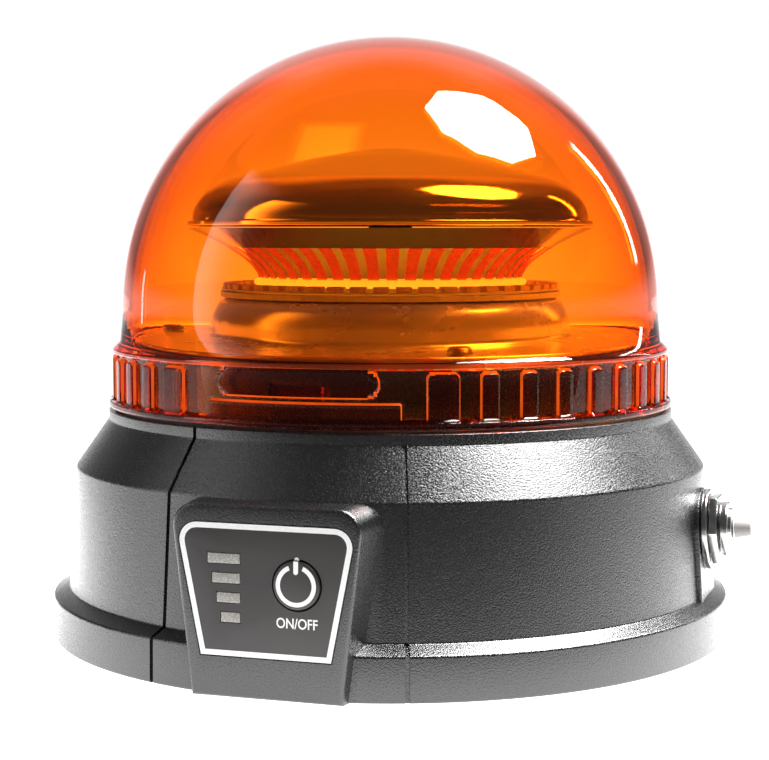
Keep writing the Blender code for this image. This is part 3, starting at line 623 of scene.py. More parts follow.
def block_outline():
    return keystone(15.25, FOOT, BLOCK_TOP_HALF, WALL_TOP, 4.5)


def overlay_outline(margin=0.0):
    outline = keystone(13.2, 9.0, 18.25, 34.5, 3.6)
    return inset(outline, -margin) if margin else outline


def panel_block():
    """The block with its rounded front edge and drafted sides."""
    outline = block_outline()
    edge, steps = 0.8, 4
    rings = []
    for i in range(steps + 1):
        turn = pi / 2 * i / steps
        ring = inset(outline, edge * (1 - sin(turn))) if i < steps else outline
        rings.append([(x, max(y, FOOT), -edge * (1 - cos(turn))) for x, y in ring])
    spread = 1 + BLOCK_DEPTH * tan(BLOCK_DRAFT) / BLOCK_TOP_HALF
    rings.append([(x * spread, y, -BLOCK_DEPTH) for x, y in outline])
    return loft("panel_block", rings, panel_matrix())


SOCKET_X, SOCKET_Z = 70.9, 25.6
BOSS_HALF = 8.8
WALL_DRAFT = radians(3.4)


def socket_matrix():
    """From lengths along the socket's axis (local Z, outward) to the beacon."""
    lean = Matrix.Rotation(pi / 2 - WALL_DRAFT, 4, "Y")
    return shift(SOCKET_X, 0, SOCKET_Z) @ lean


def socket_boss():
    foot = WALL_FOOT - SOCKET_Z - 1
    arch = arc((0, 0), BOSS_HALF, BOSS_HALF, 0, pi, 24)
    outline = [(BOSS_HALF, foot), *arch, (-BOSS_HALF, foot)]
    facing = Matrix.Rotation(pi / 2, 4, "Z") @ Matrix.Rotation(pi / 2 - WALL_DRAFT, 4, "X")
    at = shift(SOCKET_X, 0, SOCKET_Z) @ facing
    return plate("socket_boss", outline, -4, 0, 0.35, at)


def parting_groove(name, angle):
    """A blade that follows the housing's outside, a little inside it."""
    depth, half = 0.8, 0.45
    spine = [
        (LIP_R - depth, DECK + 1), (LIP_R - depth, NECK), (WALL_TOP_R - depth, WALL_TOP),
        (WALL_FOOT_R - depth, WALL_FOOT), (FLANGE_R - depth, LEDGE), (FLANGE_R - depth, FOOT - 1),
        (FLANGE_R + 2, FOOT - 1), (FLANGE_R + 2, DECK + 1),
    ]
    turn = Matrix.Rotation(angle, 4, "Z") @ Matrix.Rotation(pi / 2, 4, "X")
    return plate(name, spine, -half, half, 0, turn)


GROOVE_ANGLE = radians(20.5)
BUTTON_U, BUTTON_Z, BUTTON_R = 6.4, 23.35, 4.7
BUTTON_HOLE_R = BUTTON_R + 0.3
WORDS_Z = 16.0
LEVEL_RIGHT = -5.05
LEVEL_WIDTHS = (6.55, 5.65, 4.75, 3.9)
LEVEL_TOP = 27.7
LEVEL_PITCH = 3.73
LEVEL_HEIGHT = 1.95
LEVELS = range(len(LEVEL_WIDTHS))


def level_outline(index, margin=0.0):
    """One of the level bars, the widest on top and all flush on the right."""
    middle = LEVEL_TOP - LEVEL_PITCH * index
    reach = LEVEL_HEIGHT / 2 + margin
    left = LEVEL_RIGHT - LEVEL_WIDTHS[index] - margin
    return rectangle(left, middle - reach, LEVEL_RIGHT + margin, middle + reach)


def button_matrix():
    return panel_matrix() @ shift(BUTTON_U, BUTTON_Z, 0)


LUGS = 4
LUG_HALF = radians(5)
LUG_R = 56.4
UNLOCK_TURN = radians(20)
CHANNEL = (56.0, 59.1)


def bayonet_cuts():
    """For each lug a channel to turn in, and an entry slot over the channel's open end."""
    made = []
    spare = LUG_HALF + radians(0.8)
    for i in range(LUGS):
        angle = i * 2 * pi / LUGS
        end = angle + UNLOCK_TURN + spare
        channel = ring_sector(*CHANNEL, angle - spare, end)
        made.append(plate(f"channel_{i}", channel, 55.6, 59.4))
        entry = ring_sector(*CHANNEL, angle + UNLOCK_TURN - spare, end)
        made.append(plate(f"entry_{i}", entry, 59.2, SPIGOT_TOP + 1))
    return made


def screw_posts():
    """The posts inside the housing that the screws drive into, and the pilot holes in them."""
    posts, pilots = [], []
    for i, place in enumerate(ENGINE_SCREWS):
        at = at_place(*place)
        posts.append(disc(f"engine_post_{i}", 3.4, DECK - 2, SPIGOT_TOP, SMALL, at))
        pilots.append(disc(f"engine_pilot_{i}", 1.5, SPIGOT_TOP - 9, SPIGOT_TOP + 2, SMALL, at))
    for i, place in enumerate(BASE_SCREWS):
        at = at_place(*place)
        posts.append(disc(f"base_post_{i}", 4.2, 6.4, 19, SMALL, at))
        pilots.append(disc(f"base_pilot_{i}", 1.8, 5, 17, SMALL, at))
    return posts, pilots


def base_housing():
    shell = lathe("housing_shell", housing_outline(), FINE)
    posts, pilots = screw_posts()
    combine(shell, [panel_block(), socket_boss(), *posts], "UNION")
    at = panel_matrix()
    cuts = [
        disc("plate_bore", PLATE_BORE - 0.05, 0, PLATE_SEAT, FINE),
        plate("recess", overlay_outline(0.15), -0.8, 1, 0, at),
        disc("button_hole", BUTTON_HOLE_R, -4, 1, SMALL, button_matrix()),
        disc("socket_hole", 5.7, -12, 4, SMALL, socket_matrix()),
        parting_groove("groove_left", FRONT - GROOVE_ANGLE),
        parting_groove("groove_right", FRONT + GROOVE_ANGLE),
        *bayonet_cuts(),
        *pilots,
    ]
    pocket = rectangle(-13.8, 10.5, 13.8, 34.3)
    cuts.append(plate("pocket", pocket, -15.6, -3, 0, at))
    cuts += [plate(f"slot_{i}", level_outline(i, 0.15), -4, 1, 0, at) for i in LEVELS]
    combine(shell, cuts, "DIFFERENCE")
    finish_piece(shell, "housing_plastic", "base", ["base_housing"], 28)


# ---- panel

def print_line(name, outline, width, matrix, lift=0.04):
    """A printed closed line: the band between an outline and its inset."""
    inner = inset(outline, width)
    count = len(outline)
    points, faces = [], []
    for ring, z in ((outline, 0.01), (outline, lift), (inner, lift), (inner, 0.01)):
        points += [(x, y, z) for x, y in ring]
    for i in range(4):
        faces += band(i * count, (i + 1) % 4 * count, count)
    piece = new_piece(name, mesh_of(name, points, faces))
    piece.data.transform(matrix)
    return piece


def panel_overlay():
    at = panel_matrix()
    label = plate("label_film", overlay_outline(), -0.5, 0, 0.12, at)
    cuts = [disc("label_hole", BUTTON_HOLE_R, -2, 1, SMALL, button_matrix())]
    cuts += [plate(f"label_slot_{i}", level_outline(i, 0.12), -2, 1, 0, at) for i in LEVELS]
    combine(label, cuts, "DIFFERENCE")
    finish_piece(label, "panel_label", "base", ["panel_overlay"])
    border = print_line("label_border", inset(overlay_outline(), 0.1), 1.05, at)
    finish_piece(border, "white_print", "base")


def level_windows():
    for i in LEVELS:
        name = f"level_window_{i + 1}"
        window = plate(f"level_bar_{i + 1}", level_outline(i), -3.4, 0.05, 0.12, panel_matrix())
        finish_piece(window, "level_plastic", "base", [name])


def bar(name, v0, v1, half, round_end, low, high, matrix):
    """An upright bar on the symbol's middle line: flat at v0 and round at v1, where round_end is
    1 for a round top and -1 for a round foot."""
    centre = v1 - round_end * half
    outline = [(-round_end * half, v0), (round_end * half, v0)] + arc(
        (0, centre), round_end * half, round_end * half, 0, pi, 8)
    return plate(name, outline, low, high, 0, matrix)


def power_button():
    """The button's pad, and the power symbol printed across it and the label above it."""
    at = button_matrix()
    proud, flange_r = 0.54, 5.7
    edge = filleted(
        [(0, proud), (BUTTON_R - 0.05, proud), (BUTTON_R, -3.3), (flange_r, -3.3), (flange_r, -4.3),
         (0, -4.3)],
        [0, 0.5, 0, 0.2, 0.2, 0], 5, closed=False)
    button = lathe("button_pad", edge, MEDIUM, at)
    finish_piece(button, "panel_label", "button", ["power_button"])
    gap, inner_r, outer_r, half = radians(22), 3.15, 4.0, 0.47
    ink_low, ink_top = proud - 0.02, proud + 0.04
    ring = ring_sector(inner_r, outer_r, pi / 2 + gap, 2.5 * pi - gap, 60)
    symbol = plate("power_symbol_ring", ring, ink_low, ink_top, 0, at)
    finish_piece(symbol, "white_print", "button")
    stroke = bar("power_symbol_bar", BUTTON_R - 0.08, 2.1, half, -1, ink_low, ink_top + 0.01, at)
    finish_piece(stroke, "white_print", "button")
    tip = bar("power_symbol_tip", BUTTON_R + 0.04, 5.3, half, 1, 0.01, 0.06, at)
    finish_piece(tip, "white_print", "base")


def on_off_words():
    """The switch's two generic words, in Blender's own font, a little squeezed."""
    squeeze = 0.83
    words = bpy.data.curves.new("on_off_words", "FONT")
    words.body = "ON/OFF"
    words.align_x = "CENTER"
    words.align_y = "CENTER"
    words.size = 2.75 * MM
    words.offset = 0.035 * MM
    words.extrude = 0.02 * MM
    words.resolution_u = 4
    at = panel_matrix() @ shift(BUTTON_U, WORDS_Z, 0.03)
    drawn = bpy.data.objects.new("on_off_curve", words)
    bpy.context.scene.collection.objects.link(drawn)
    graph = bpy.context.evaluated_depsgraph_get()
    mesh = bpy.data.meshes.new_from_object(drawn.evaluated_get(graph))
    bpy.data.objects.remove(drawn, do_unlink=True)
    mesh.transform(at @ Matrix.Diagonal((squeeze, 1, 1, 1)))
    finish_piece(new_piece("on_off_words", mesh), "white_print", "base")


# ---- charging socket

def hex_outline(flats, corner=0.5):
    radius = flats / 2 / cos(pi / 6)
    return filleted([polar(radius, pi / 6 + i * pi / 3) for i in range(6)], corner, 4)


def threads(radius, low, high, pitch, depth=0.35):
    """An outer thread's ridges as (radius, height) points from high to low."""
    points = []
    turns = int((high - low) / pitch)
    for i in range(turns):
        top = high - i * pitch
        points += [(radius, top), (radius, top - 0.2 * pitch), (radius - depth, top - 0.6 * pitch)]
    return points


BARREL_R = 5.4
BARREL_BORE = 4.6
THREAD_PITCH = 0.75
NUT_FLATS = 14.0


def charging_socket():
    """The washer, the hexagon nut and the threaded barrel with its flange inside the wall."""
    at = socket_matrix()
    chrome = "socket_chrome"
    washer = lathe("socket_washer_ring", filleted(
        [(5.6, 0.3), (5.6, 1.5), (8.6, 1.5), (8.6, 0.3)], [0.1, 0.15, 0.3, 0.2], 4), MEDIUM, at)
    finish_piece(washer, chrome, "base", ["socket_washer"])
    nut = plate("socket_hex_nut", hex_outline(NUT_FLATS), 1.8, 3.4, 0.3, at)
    combine(nut, [disc("nut_bore", 5.6, 0, 5, SMALL, at)], "DIFFERENCE")
    finish_piece(nut, chrome, "base", ["socket_nut"])
    thread = threads(BARREL_R, -3.9, 3.3, THREAD_PITCH)
    outline = [(BARREL_BORE, 3.5), (BARREL_R - 0.25, 3.5)] + thread + [
        (8.4, -3.9), (8.4, -5.3), (BARREL_R, -5.3), (BARREL_R, -9.0), (BARREL_BORE, -9.0)]
    barrel = lathe("socket_barrel_thread", outline, MEDIUM, at)
    finish_piece(barrel, chrome, "base", ["socket_barrel"])


def charge_cap():
    """The bright cap over the socket, and its rubber grip."""
    at = socket_matrix()
    outline = filleted(
        [(0, 6.0), (4.4, 6.0), (4.4, 5.4), (5.8, 5.4), (5.8, 3.8), (0, 3.8)],
        [0, 0.3, 0.1, 0.35, 0.25, 0], 4, closed=False)
    cap = lathe("cap_shell", outline, MEDIUM, at)
    finish_piece(cap, "socket_chrome", "cap", ["charge_cap"])
    pull = filleted([(0, 9.8), (1.65, 9.8), (2.15, 6.3), (0, 6.3)], [0, 0.25, 0.15, 0], 4, closed=False)
    grip = lathe("cap_grip", pull, SMALL, at)
    finish_piece(grip, "grey_rubber", "cap", ["cap_pull"])


# ---- light engine

FLOOR_LOW, FLOOR_HIGH = node_box("engine_base")
DRUM_TOP = FLOOR_HIGH.z
HORN_LOW, HORN_HIGH = node_box("horn_reflector")
CAP_LOW, CAP_HIGH = node_box("light_cap")
LED_COUNT = 48


def engine_base():
    """The bright floor and the drum that rises from it, as one pressing."""
    shell = 1.5
    floor_top = FLOOR_LOW.z + shell
    drum_r, drum_top_r, round_z = 40.0, 36.0, 67.5
    boss_r, bore_r, boss_foot = 4.0, 1.6, DRUM_TOP - 5.5
    drum_round = arc((drum_top_r, round_z), drum_r - drum_top_r, DRUM_TOP - round_z, pi / 2, 0, 14)
    foot_r = 1.8
    drum_foot = arc((drum_r + foot_r, floor_top + foot_r), foot_r, foot_r, pi, 1.5 * pi, 8)
    rim_r = FLOOR_HIGH.x
    outline = [
        (bore_r, DRUM_TOP), *drum_round, *drum_foot,
        (rim_r - 0.3, floor_top), (rim_r, floor_top - 0.3), (rim_r, FLOOR_LOW.z),
        (drum_r - shell, FLOOR_LOW.z), (drum_r - shell, round_z - 0.5),
        (drum_top_r - shell, DRUM_TOP - shell), (boss_r, DRUM_TOP - shell), (boss_r, boss_foot),
        (bore_r, boss_foot),
    ]
    base = lathe("bright_floor", outline, FINE)
    holes = [
        disc(f"floor_hole_{i}", 1.8, FLOOR_LOW.z - 1, floor_top + 1, SMALL // 2, at_place(*place))
        for i, place in enumerate(ENGINE_SCREWS)
    ]
    holes.append(disc("lead_hole", 2.2, 70, 76, SMALL // 2, shift(12, 8, 0)))
    combine(base, holes, "DIFFERENCE")
    finish_piece(base, "reflector_metal", "base", ["engine_base"])


def led_packages():
    """The flexible ring and its square LED packages, each its own piece."""
    low, high = node_box("led_ring")
    flex_top = low.z + 0.4
    outline = [(37.5, flex_top), (37.5, low.z), (34.2, low.z), (34.2, flex_top)]
    ring = lathe("led_flex", outline, FINE)
    finish_piece(ring, "board_white", "base", ["led_ring"])
    outline = rectangle(-1.45, -1.6, 1.45, 1.6, 0.2)
    for i in range(LED_COUNT):
        angle = 2 * pi * i / LED_COUNT
        turn = at_place(35.7, angle) @ Matrix.Rotation(angle, 4, "Z")
        package = plate(f"led_package_{i + 1}", outline, flex_top + 0.02, high.z, 0.15, turn)
        finish_piece(package, "led_phosphor", "base")


HORN_FOOT_R = 29.0
HORN_RIM_R = 45.0
HORN_FOOT_Z = 78.0
HORN_FLARE = 1.8
HORN_WALL = 1.2
FACETS_TOP = HORN_FOOT_Z + 7.4


def horn_radius(z):
    share = (z - HORN_FOOT_Z) / (HORN_HIGH.z - HORN_FOOT_Z)
    return HORN_FOOT_R + (HORN_RIM_R - HORN_FOOT_R) * max(0.0, share) ** HORN_FLARE


def horn_reflector():
    """The concave horn, with painted shade above its ring of facets, and the bead with a painted glow
    round its foot.
    """
    steps = 28
    rise = HORN_HIGH.z - HORN_FOOT_Z
    heights = [HORN_HIGH.z - rise * i / steps for i in range(steps + 1)]
    outside = [(horn_radius(z), z) for z in heights]
    inside = [(r - HORN_WALL, z + HORN_WALL / 2) for r, z in outside[2:]][::-1]
    foot = [(HORN_FOOT_R, HORN_LOW.z), (HORN_FOOT_R - HORN_WALL, HORN_LOW.z)]
    outline = outside + foot + inside + [(HORN_RIM_R - 1.8, HORN_HIGH.z)]
    horn = lathe("smooth_horn", outline, FINE)
    finish_piece(horn, "cap_metal", "base", ["horn_reflector"])
    # The outer faces above the facets take the dark colour of painted shade.
    horn.data.materials.append(LOOKS["horn_throat_shade"])
    for face in horn.data.polygons:
        x, y, z = face.center / MM
        outer = hypot(x, y) > horn_radius(z) - 0.3
        face.material_index = int(outer and z > FACETS_TOP)
    # A bead round the horn's foot, bright from a painted glow.
    bead = arc((HORN_FOOT_R + 0.5, HORN_FOOT_Z - 0.2), 0.8, 0.75, 0, 2 * pi, 16)[1:]
    ring = lathe("horn_glow_ring", bead, FINE)
    finish_piece(ring, "ring_glow", "base")
    facets()


def facets():
    """One raised facet on the horn above each LED, carrying the painted LED reflection."""
    low, high = HORN_FOOT_Z + 0.8, FACETS_TOP
    half = 0.3 * 2 * pi / LED_COUNT
    proud, buried = 0.12, -0.3
    across, up = 4, 8
    points, faces = [], []
    for i in range(LED_COUNT):
        middle = (i + 0.5) * 2 * pi / LED_COUNT
        first = len(points)
        for lift in (proud, buried):
            for row in range(up + 1):
                z = low + (high - low) * row / up
                for column in range(across + 1):
                    angle = middle - half + 2 * half * column / across
                    points.append((*polar(horn_radius(z) + lift, angle), z))
        width = across + 1
        back = first + width * (up + 1)
        for row in range(up):
            for column in range(across):
                a = first + row * width + column
                b = back + row * width + column
                faces.append((a, a + 1, a + 1 + width, a + width))
                faces.append((b, b + width, b + 1 + width, b + 1))
        rim = list(range(width))
        rim += [row * width + across for row in range(1, up + 1)]
        rim += [up * width + c for c in range(across - 1, -1, -1)]
        rim += [row * width for row in range(up - 1, 0, -1)]
        for a, b in zip(rim, rim[1:] + rim[:1]):
            faces.append((first + a, back + a, back + b, first + b))
    windows = new_piece("horn_facets", mesh_of("horn_facets", points, faces))
    finish_piece(windows, "painted_led_reflection", "base")


def light_cap():
    """The round cover: a flat crown, an elliptical shoulder and a thin lip."""
    rim_low, top = CAP_LOW.z, CAP_HIGH.z
    crown = [(1.7, top - 1.5), (4.4, top - 1.5), (5.0, top), (6.5, top)]
    shoulder = arc((30.0, 91.4), 14.0, 9.9, radians(70), 0, 12)
    lip = [(HORN_RIM_R, 91.1), (HORN_RIM_R, 90.05), (43.2, 90.05)]
    under = [(41.0, 93.5), (32.0, 98.6), (16.5, 102.8), (5.2, 103.6)]
    stem = [(4.6, rim_low), (1.7, rim_low)]
    corners = crown + [(17.4, 104.9)] + shoulder + lip + under + stem
    radii = [0, 0.3, 0.4, 1.5, 14, *[0] * len(shoulder), 0.2, 0.3, 0.2, 2, 6, 6, 1, 0.2, 0.2]
    cap = lathe("light_cap_shell", filleted(corners, radii, 9))
    finish_piece(cap, "cap_metal", "base", ["light_cap"])


def pan_head_screw(name, seat, place, head_r, head_h, shank_r, length, replaced, upward=False):
    """A pan-head screw with a cross recess."""
    outline = filleted(
        [(0, head_h), (head_r * 0.75, head_h), (head_r, head_h * 0.45), (head_r, 0), (shank_r, 0),
         (shank_r, 0.8 - length), (0, -length)],
        [0, 0.5, 0.4, 0.1, 0, 0.2, 0], 4, closed=False)
    at = shift(*place, seat)
    if upward:
        at = at @ Matrix.Rotation(pi, 4, "X")
    screw = lathe(name, outline, SMALL, at)
    arm, half = head_r * 0.55, head_r * 0.12
    spokes = [
        plate(name + "_a", rectangle(-arm, -half, arm, half), head_h - 0.6, head_h + 1, 0, at),
        plate(name + "_b", rectangle(-half, -arm, half, arm), head_h - 0.6, head_h + 1, 0, at),
    ]
    combine(screw, spokes, "DIFFERENCE")
    finish_piece(screw, "steel", "base", [replaced])


def fasteners():
    """The floor's screws from above, the bottom cover's from below, and the light cap's."""
    for i, place in enumerate(ENGINE_SCREWS):
        seat = FLOOR_LOW.z + 1.8
        names = (f"floor_screw_{i + 1}", f"engine_screw_{i + 1}")
        pan_head_screw(names[0], seat, polar(*place), 2.6, 1.6, 1.2, 9, names[1])
    for i, place in enumerate(BASE_SCREWS):
        names = (f"foot_screw_{i + 1}", f"base_screw_{i + 1}")
        pan_head_screw(names[0], 3.3, polar(*place), 3.2, 1.8, 1.4, 11, names[1], upward=True)
    pan_head_screw("cap_screw", CAP_HIGH.z - 1.2, (0, 0), 2.9, 1.4, 1.3, 34, "light_cap_screw")


# ---- dome

DOME_TOP = DOME_HIGH.z
SPRING_Z = 72.15
DOME_R = DOME_TOP - SPRING_Z
RECESS_R = 60.5
BEAD_R = 61.6
SKIRT_BORE = 58.5
GRIP_TOP, GRIP_FOOT = 62.3, 52.9
RELIEF_HEIGHT = BEAD_R - RECESS_R
RIB_Z = 56.6
RIB_HALF_HIGH = 5.3
RIBS_A_SIDE = 18
RIB_PITCH = radians(8)
RIB_HALF = radians(1.75)
FIRST_RIB = radians(36.5)


def collar_features():
    """The collar's raised shapes: (angle from the front, middle height, half width, half height,
    corner radius), lengths on the collar's face."""
    def face(angle):
        return angle * BEAD_R

    shapes = [
        (0.0, 59.8, face(radians(16)), 2.8, 2.7),
        (radians(1), 54.2, face(radians(19)), 1.7, 0.3),
        (pi, RIB_Z, face(RIB_HALF), RIB_HALF_HIGH, 1.0),
    ]
    for side in (-1, 1):
        shapes.append((side * radians(27.7), RIB_Z, face(radians(3)), RIB_HALF_HIGH, 1.3))
        for i in range(RIBS_A_SIDE):
            angle = side * (FIRST_RIB + i * RIB_PITCH)
            shapes.append((angle, RIB_Z, face(RIB_HALF), RIB_HALF_HIGH, 1.0))
    return shapes


def collar_relief(angles, heights, radii):
    """Outward shift of the recessed collar face, from the raised shapes' rounded outlines."""
    edge = 0.8
    from_front = np.mod(angles - FRONT + pi, 2 * pi) - pi
    raised = np.zeros(np.broadcast(angles, heights).shape)
    for middle, height, half_wide, half_high, corner in collar_features():
        off = np.mod(from_front - middle + pi, 2 * pi) - pi
        across = np.abs(off * BEAD_R) - half_wide + corner
        up = np.abs(heights - height) - half_high + corner
        outside = np.hypot(np.maximum(across, 0), np.maximum(up, 0)) - corner
        inside = np.minimum(np.maximum(across, up), 0)
        share = np.clip(0.5 - (outside + inside) / edge, 0, 1)
        raised = np.maximum(raised, share * share * (3 - 2 * share))
    on_face = np.abs(radii - RECESS_R) < 0.01
    return RELIEF_HEIGHT * raised * on_face


def collar_angles():
    """Even steps round the dome, with extra ones at every rib's edges."""
    angles = list(np.radians(np.arange(0, 360, 1.0)))
    for middle, _, half_wide, _, _ in collar_features():
        for side in (-1, 1):
            edge = FRONT + middle + side * half_wide / BEAD_R
            angles += [edge + radians(step) for step in (-0.40, -0.26, -0.13, 0, 0.13, 0.26, 0.40)]
    return np.unique(np.round(np.mod(angles, 2 * pi), 5))


def dome():
    """The lens: its shell, the collar with its reliefs, the lip and the bayonet lugs inside."""
    rows = 46
    grip = [(RECESS_R, GRIP_TOP + (GRIP_FOOT - GRIP_TOP) * i / rows) for i in range(rows + 1)]
    bead = filleted([(60.0, 65.2), (BEAD_R, 63.6), (BEAD_R, 62.7), (RECESS_R, GRIP_TOP)],
                    [0, 0.8, 0.3, 0], 5, closed=False)
    lip = filleted([(RECESS_R, GRIP_FOOT), (LIP_R, 52.3), (LIP_R, COLLAR_FOOT), (SKIRT_BORE, COLLAR_FOOT)],
                   [0, 0.4, 0.25, 0], 4, closed=False)
    outside = arc((0, SPRING_Z), DOME_R, DOME_R, pi / 2, 0, 48)
    outside[0] = (0, DOME_TOP)
    inner_r = DOME_R - LENS_WALL
    inside = [(SKIRT_BORE, 63.6), (58.0, 65.2)] + arc((0, SPRING_Z), inner_r, inner_r, 0, pi / 2, 40)
    inside[-1] = (0, SPRING_Z + inner_r)
    outline = outside + bead[:-1] + grip + lip[1:] + inside
    lens = lathe("amber_dome", outline, relief=collar_relief, angles=collar_angles())
    lugs = []
    for i in range(LUGS):
        angle = i * 2 * pi / LUGS
        sector = ring_sector(LUG_R, SKIRT_BORE + 0.6, angle - LUG_HALF, angle + LUG_HALF)
        lugs.append(plate(f"lug_{i}", sector, 56.0, 59.0))
    combine(lens, lugs, "UNION")
    finish_piece(lens, "amber_lens", "lens", ["dome"], 40)
    # The slopes round the collar's raised shapes take the painted glow of their edges.
    lens.data.materials.append(LOOKS["amber_edge_glow"])
    for face in lens.data.polygons:
        x, y, z = face.center / MM
        on_slope = RECESS_R + 0.2 < hypot(x, y) < BEAD_R - 0.2
        face.material_index = int(on_slope and GRIP_FOOT < z < GRIP_TOP)


# ---- carried-over CAD nodes

KEPT = {
    "housing_plastic": ["base_plate", "battery_tray"],
    "seal_rubber": ["base_plate_seal", "switch_plunger", "socket_insulator", "cap_plug", "dome_gasket"],
    "steel": ["magnet_cup", "magnet_screw", "magnet_nut", "tact_switch"],
    "ferrite": ["ring_magnet"],
    "boot_rubber": ["magnet_boot"],
    "contact_brass": ["socket_pin"],
    "solder_mask": ["panel_board", "control_board"],
    "board_white": ["led_board"],
    "shrink_wrap": ["battery_cell_1", "battery_cell_2", "battery_cell_3"],
    "wire": ["battery_lead", "charge_lead", "panel_lead", "engine_lead"],
}


def dress_kept_nodes():
    """Gives every CAD node that stays as it is its look."""
    for look, nodes in KEPT.items():
        for node in nodes:
            dress(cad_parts[node], look)


# ---- stage

CAMERA_AZIMUTH = radians(18)
CAMERA_AWAY = 418.3
CAMERA_HEIGHT = 90.05
CAMERA_TILT = radians(4.70)
CAMERA_LENS = 87.6
CAMERA_SHIFT = -0.0075
SENSOR = 36
ROOM_LIGHT = 0.08
TABLE_FRONT = -150
TABLE_HALF = 1800
TABLE_BACK = 3000


def table():
    turn = Matrix.Rotation(CAMERA_AZIMUTH, 4, "Z")
    outline = rectangle(-TABLE_HALF, TABLE_FRONT, TABLE_HALF, TABLE_BACK)
    sheet = plate("table", outline, -2, 0, 0, turn)
    dress(sheet, "table_white")


def direction(azimuth, elevation):
    """A direction seen from the beacon: azimuth to the right of the camera, elevation up, degrees."""
    turn = radians(azimuth) + CAMERA_AZIMUTH
    level = cos(radians(elevation))
    return Vector((level * sin(turn), -level * cos(turn), sin(radians(elevation))))


def camera():
    view = bpy.data.cameras.new("camera")
    view.lens = CAMERA_LENS
    view.sensor_width = SENSOR
    view.shift_x = CAMERA_SHIFT
    made = bpy.data.objects.new("camera", view)
    x, y = CAMERA_AWAY * sin(CAMERA_AZIMUTH), -CAMERA_AWAY * cos(CAMERA_AZIMUTH)
    made.location = (x * MM, y * MM, CAMERA_HEIGHT * MM)
    made.rotation_euler = (pi / 2 - CAMERA_TILT, 0, CAMERA_AZIMUTH)
    bpy.context.scene.collection.objects.link(made)
    bpy.context.scene.camera = made


class Sky(Graph):
    """The studio round the beacon, painted on the world by direction."""

    def __init__(self):
        world = bpy.data.worlds.new("studio")
        world.use_nodes = True
        bpy.context.scene.world = world
        super().__init__(world.node_tree)
        self.background = self.nodes["Background"]
        self.view = self.nodes.new("ShaderNodeTexCoord").outputs["Generated"]

    def dot(self, axis):
        node = self.nodes.new("ShaderNodeVectorMath")
        node.operation = "DOT_PRODUCT"
        node.inputs[1].default_value = axis
        self.link(self.view, node.inputs[0])
        return node.outputs["Value"]

    def box(self, towards, half_wide, half_high, soft, strength, turn=0.0, octagon=False):
        """A soft box in a direction; its half sizes are tangents of angles."""
        right = Vector((0, 0, 1)).cross(towards).normalized()
        up = towards.cross(right).normalized()
        right, up = right * cos(turn) + up * sin(turn), up * cos(turn) - right * sin(turn)
        ahead = self.dot(towards)
        across = self.math("ABSOLUTE", self.math("DIVIDE", self.dot(right / half_wide), ahead))
        above = self.math("ABSOLUTE", self.math("DIVIDE", self.dot(up / half_high), ahead))
        reach = self.math("MAXIMUM", across, above)
        if octagon:
            corner = self.product(self.math("ADD", across, above), cos(pi / 4))
            reach = self.math("MAXIMUM", reach, corner)
        mask = self.ramp(reach, 1 - soft, 1, 1, 0)
        front = self.math("GREATER_THAN", ahead, 0.05)
        return self.product(mask, front, strength)


def backdrop(sky, level, sideways):
    """The bright cloth behind the beacon, dimmer to the sides and overhead."""
    behind = sky.ramp(sky.dot(direction(180, 0)), 0.0, 0.2)
    middle = sky.ramp(sideways, 0.24, 0.42, 1, 0.25)
    flanks = sky.ramp(sideways, 0.42, 0.8, 1, 0)
    height = sky.product(sky.ramp(level, 0.15, 0.4, 1.06, 0.85), sky.ramp(level, 0.7, 0.9, 1, 0.12))
    return sky.product(middle, flanks, height, behind)


def horizon(sky, level, sideways):
    """The band of the pale room's lower wall, all the way round."""
    band = sky.product(sky.ramp(level, -0.09, -0.06), sky.ramp(level, -0.02, 0.07, 1, 0))
    return sky.product(band, sky.ramp(sideways, 0.55, 0.95, 0.55, 0.8))


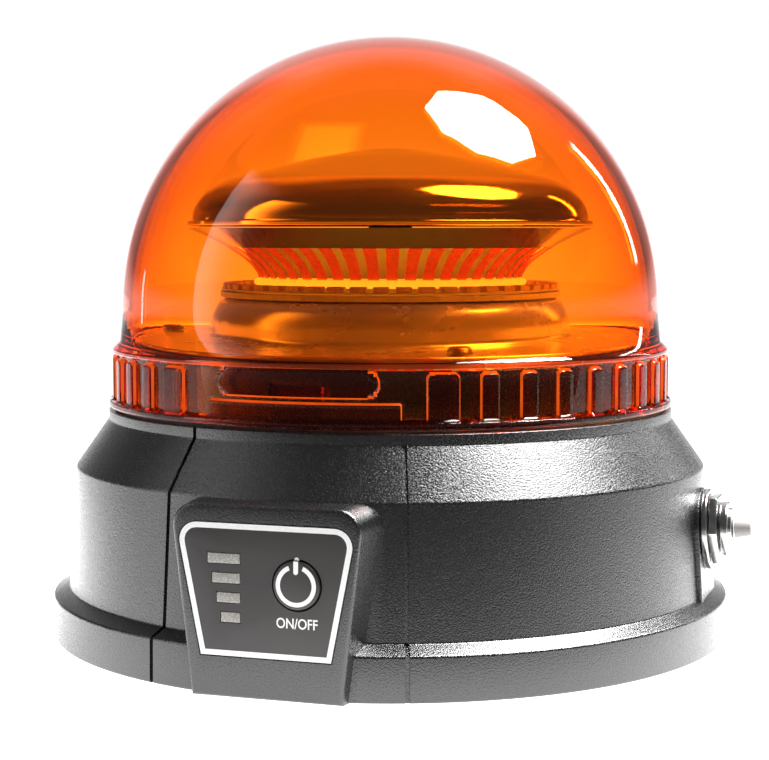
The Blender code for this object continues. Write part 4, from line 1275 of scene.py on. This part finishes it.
def side_panel(sky, level):
    """The large panel on the left: brightest along its far edge, fading towards the camera."""
    far_edge, near_edge, strength = -89, -25, 4.5
    inside = sky.dot(direction(far_edge + 90, 0))
    edge = sky.ramp(inside, -0.005, 0.005)
    fade = sky.ramp(inside, 0.0, sin(radians(near_edge - far_edge)), 1, 0)
    fade = sky.math("POWER", fade, 7.0)
    top = sky.ramp(level, 0.66, 0.72, 1, 0)
    foot = sky.ramp(level, -0.12, -0.06)
    side = sky.math("GREATER_THAN", sky.dot(direction(far_edge, 0)), 0.0)
    return sky.product(edge, fade, top, foot, side, strength)


def studio():
    """Dark towards the camera and bright behind it all; what the camera sees itself is plain white."""
    sky = Sky()
    sideways = sky.math("ABSOLUTE", sky.dot(direction(90, 0)))
    level = sky.dot(Vector((0, 0, 1)))
    key = sky.box(direction(103, 62.5), 0.29, 0.29, 0.03, 60, radians(17.5), octagon=True)
    right_strip = sky.box(direction(131, 19.5), 0.028, 0.25, 0.12, 15)
    left_strip = sky.box(direction(-128, 1), 0.02, 0.08, 0.3, 5)
    window = sky.box(direction(182.4, 3.7), 0.026, 0.02, 0.5, 0.9, radians(8))
    lights = (key, right_strip, left_strip, window, side_panel(sky, level))
    total = sky.math("ADD", backdrop(sky, level, sideways), ROOM_LIGHT)
    for light in (horizon(sky, level, sideways), *lights):
        total = sky.math("ADD", total, light)
    sky.link(total, sky.background.inputs["Strength"])
    white = sky.nodes.new("ShaderNodeBackground")
    for background in (white, sky.background):
        background.inputs["Color"].default_value = (1, 1, 1, 1)
    seen = sky.nodes.new("ShaderNodeLightPath").outputs["Is Camera Ray"]
    mix = sky.nodes.new("ShaderNodeMixShader")
    sky.link(seen, mix.inputs["Fac"])
    sky.link(sky.background.outputs["Background"], mix.inputs[1])
    sky.link(white.outputs["Background"], mix.inputs[2])
    sky.link(mix.outputs["Shader"], sky.nodes["World Output"].inputs["Surface"])


def build():
    make_looks()
    base_housing()
    panel_overlay()
    level_windows()
    power_button()
    on_off_words()
    charging_socket()
    charge_cap()
    engine_base()
    led_packages()
    horn_reflector()
    light_cap()
    fasteners()
    dome()
    dress_kept_nodes()
    table()
    studio()
    camera()
    bpy.context.scene.view_settings.view_transform = "Standard"


build()
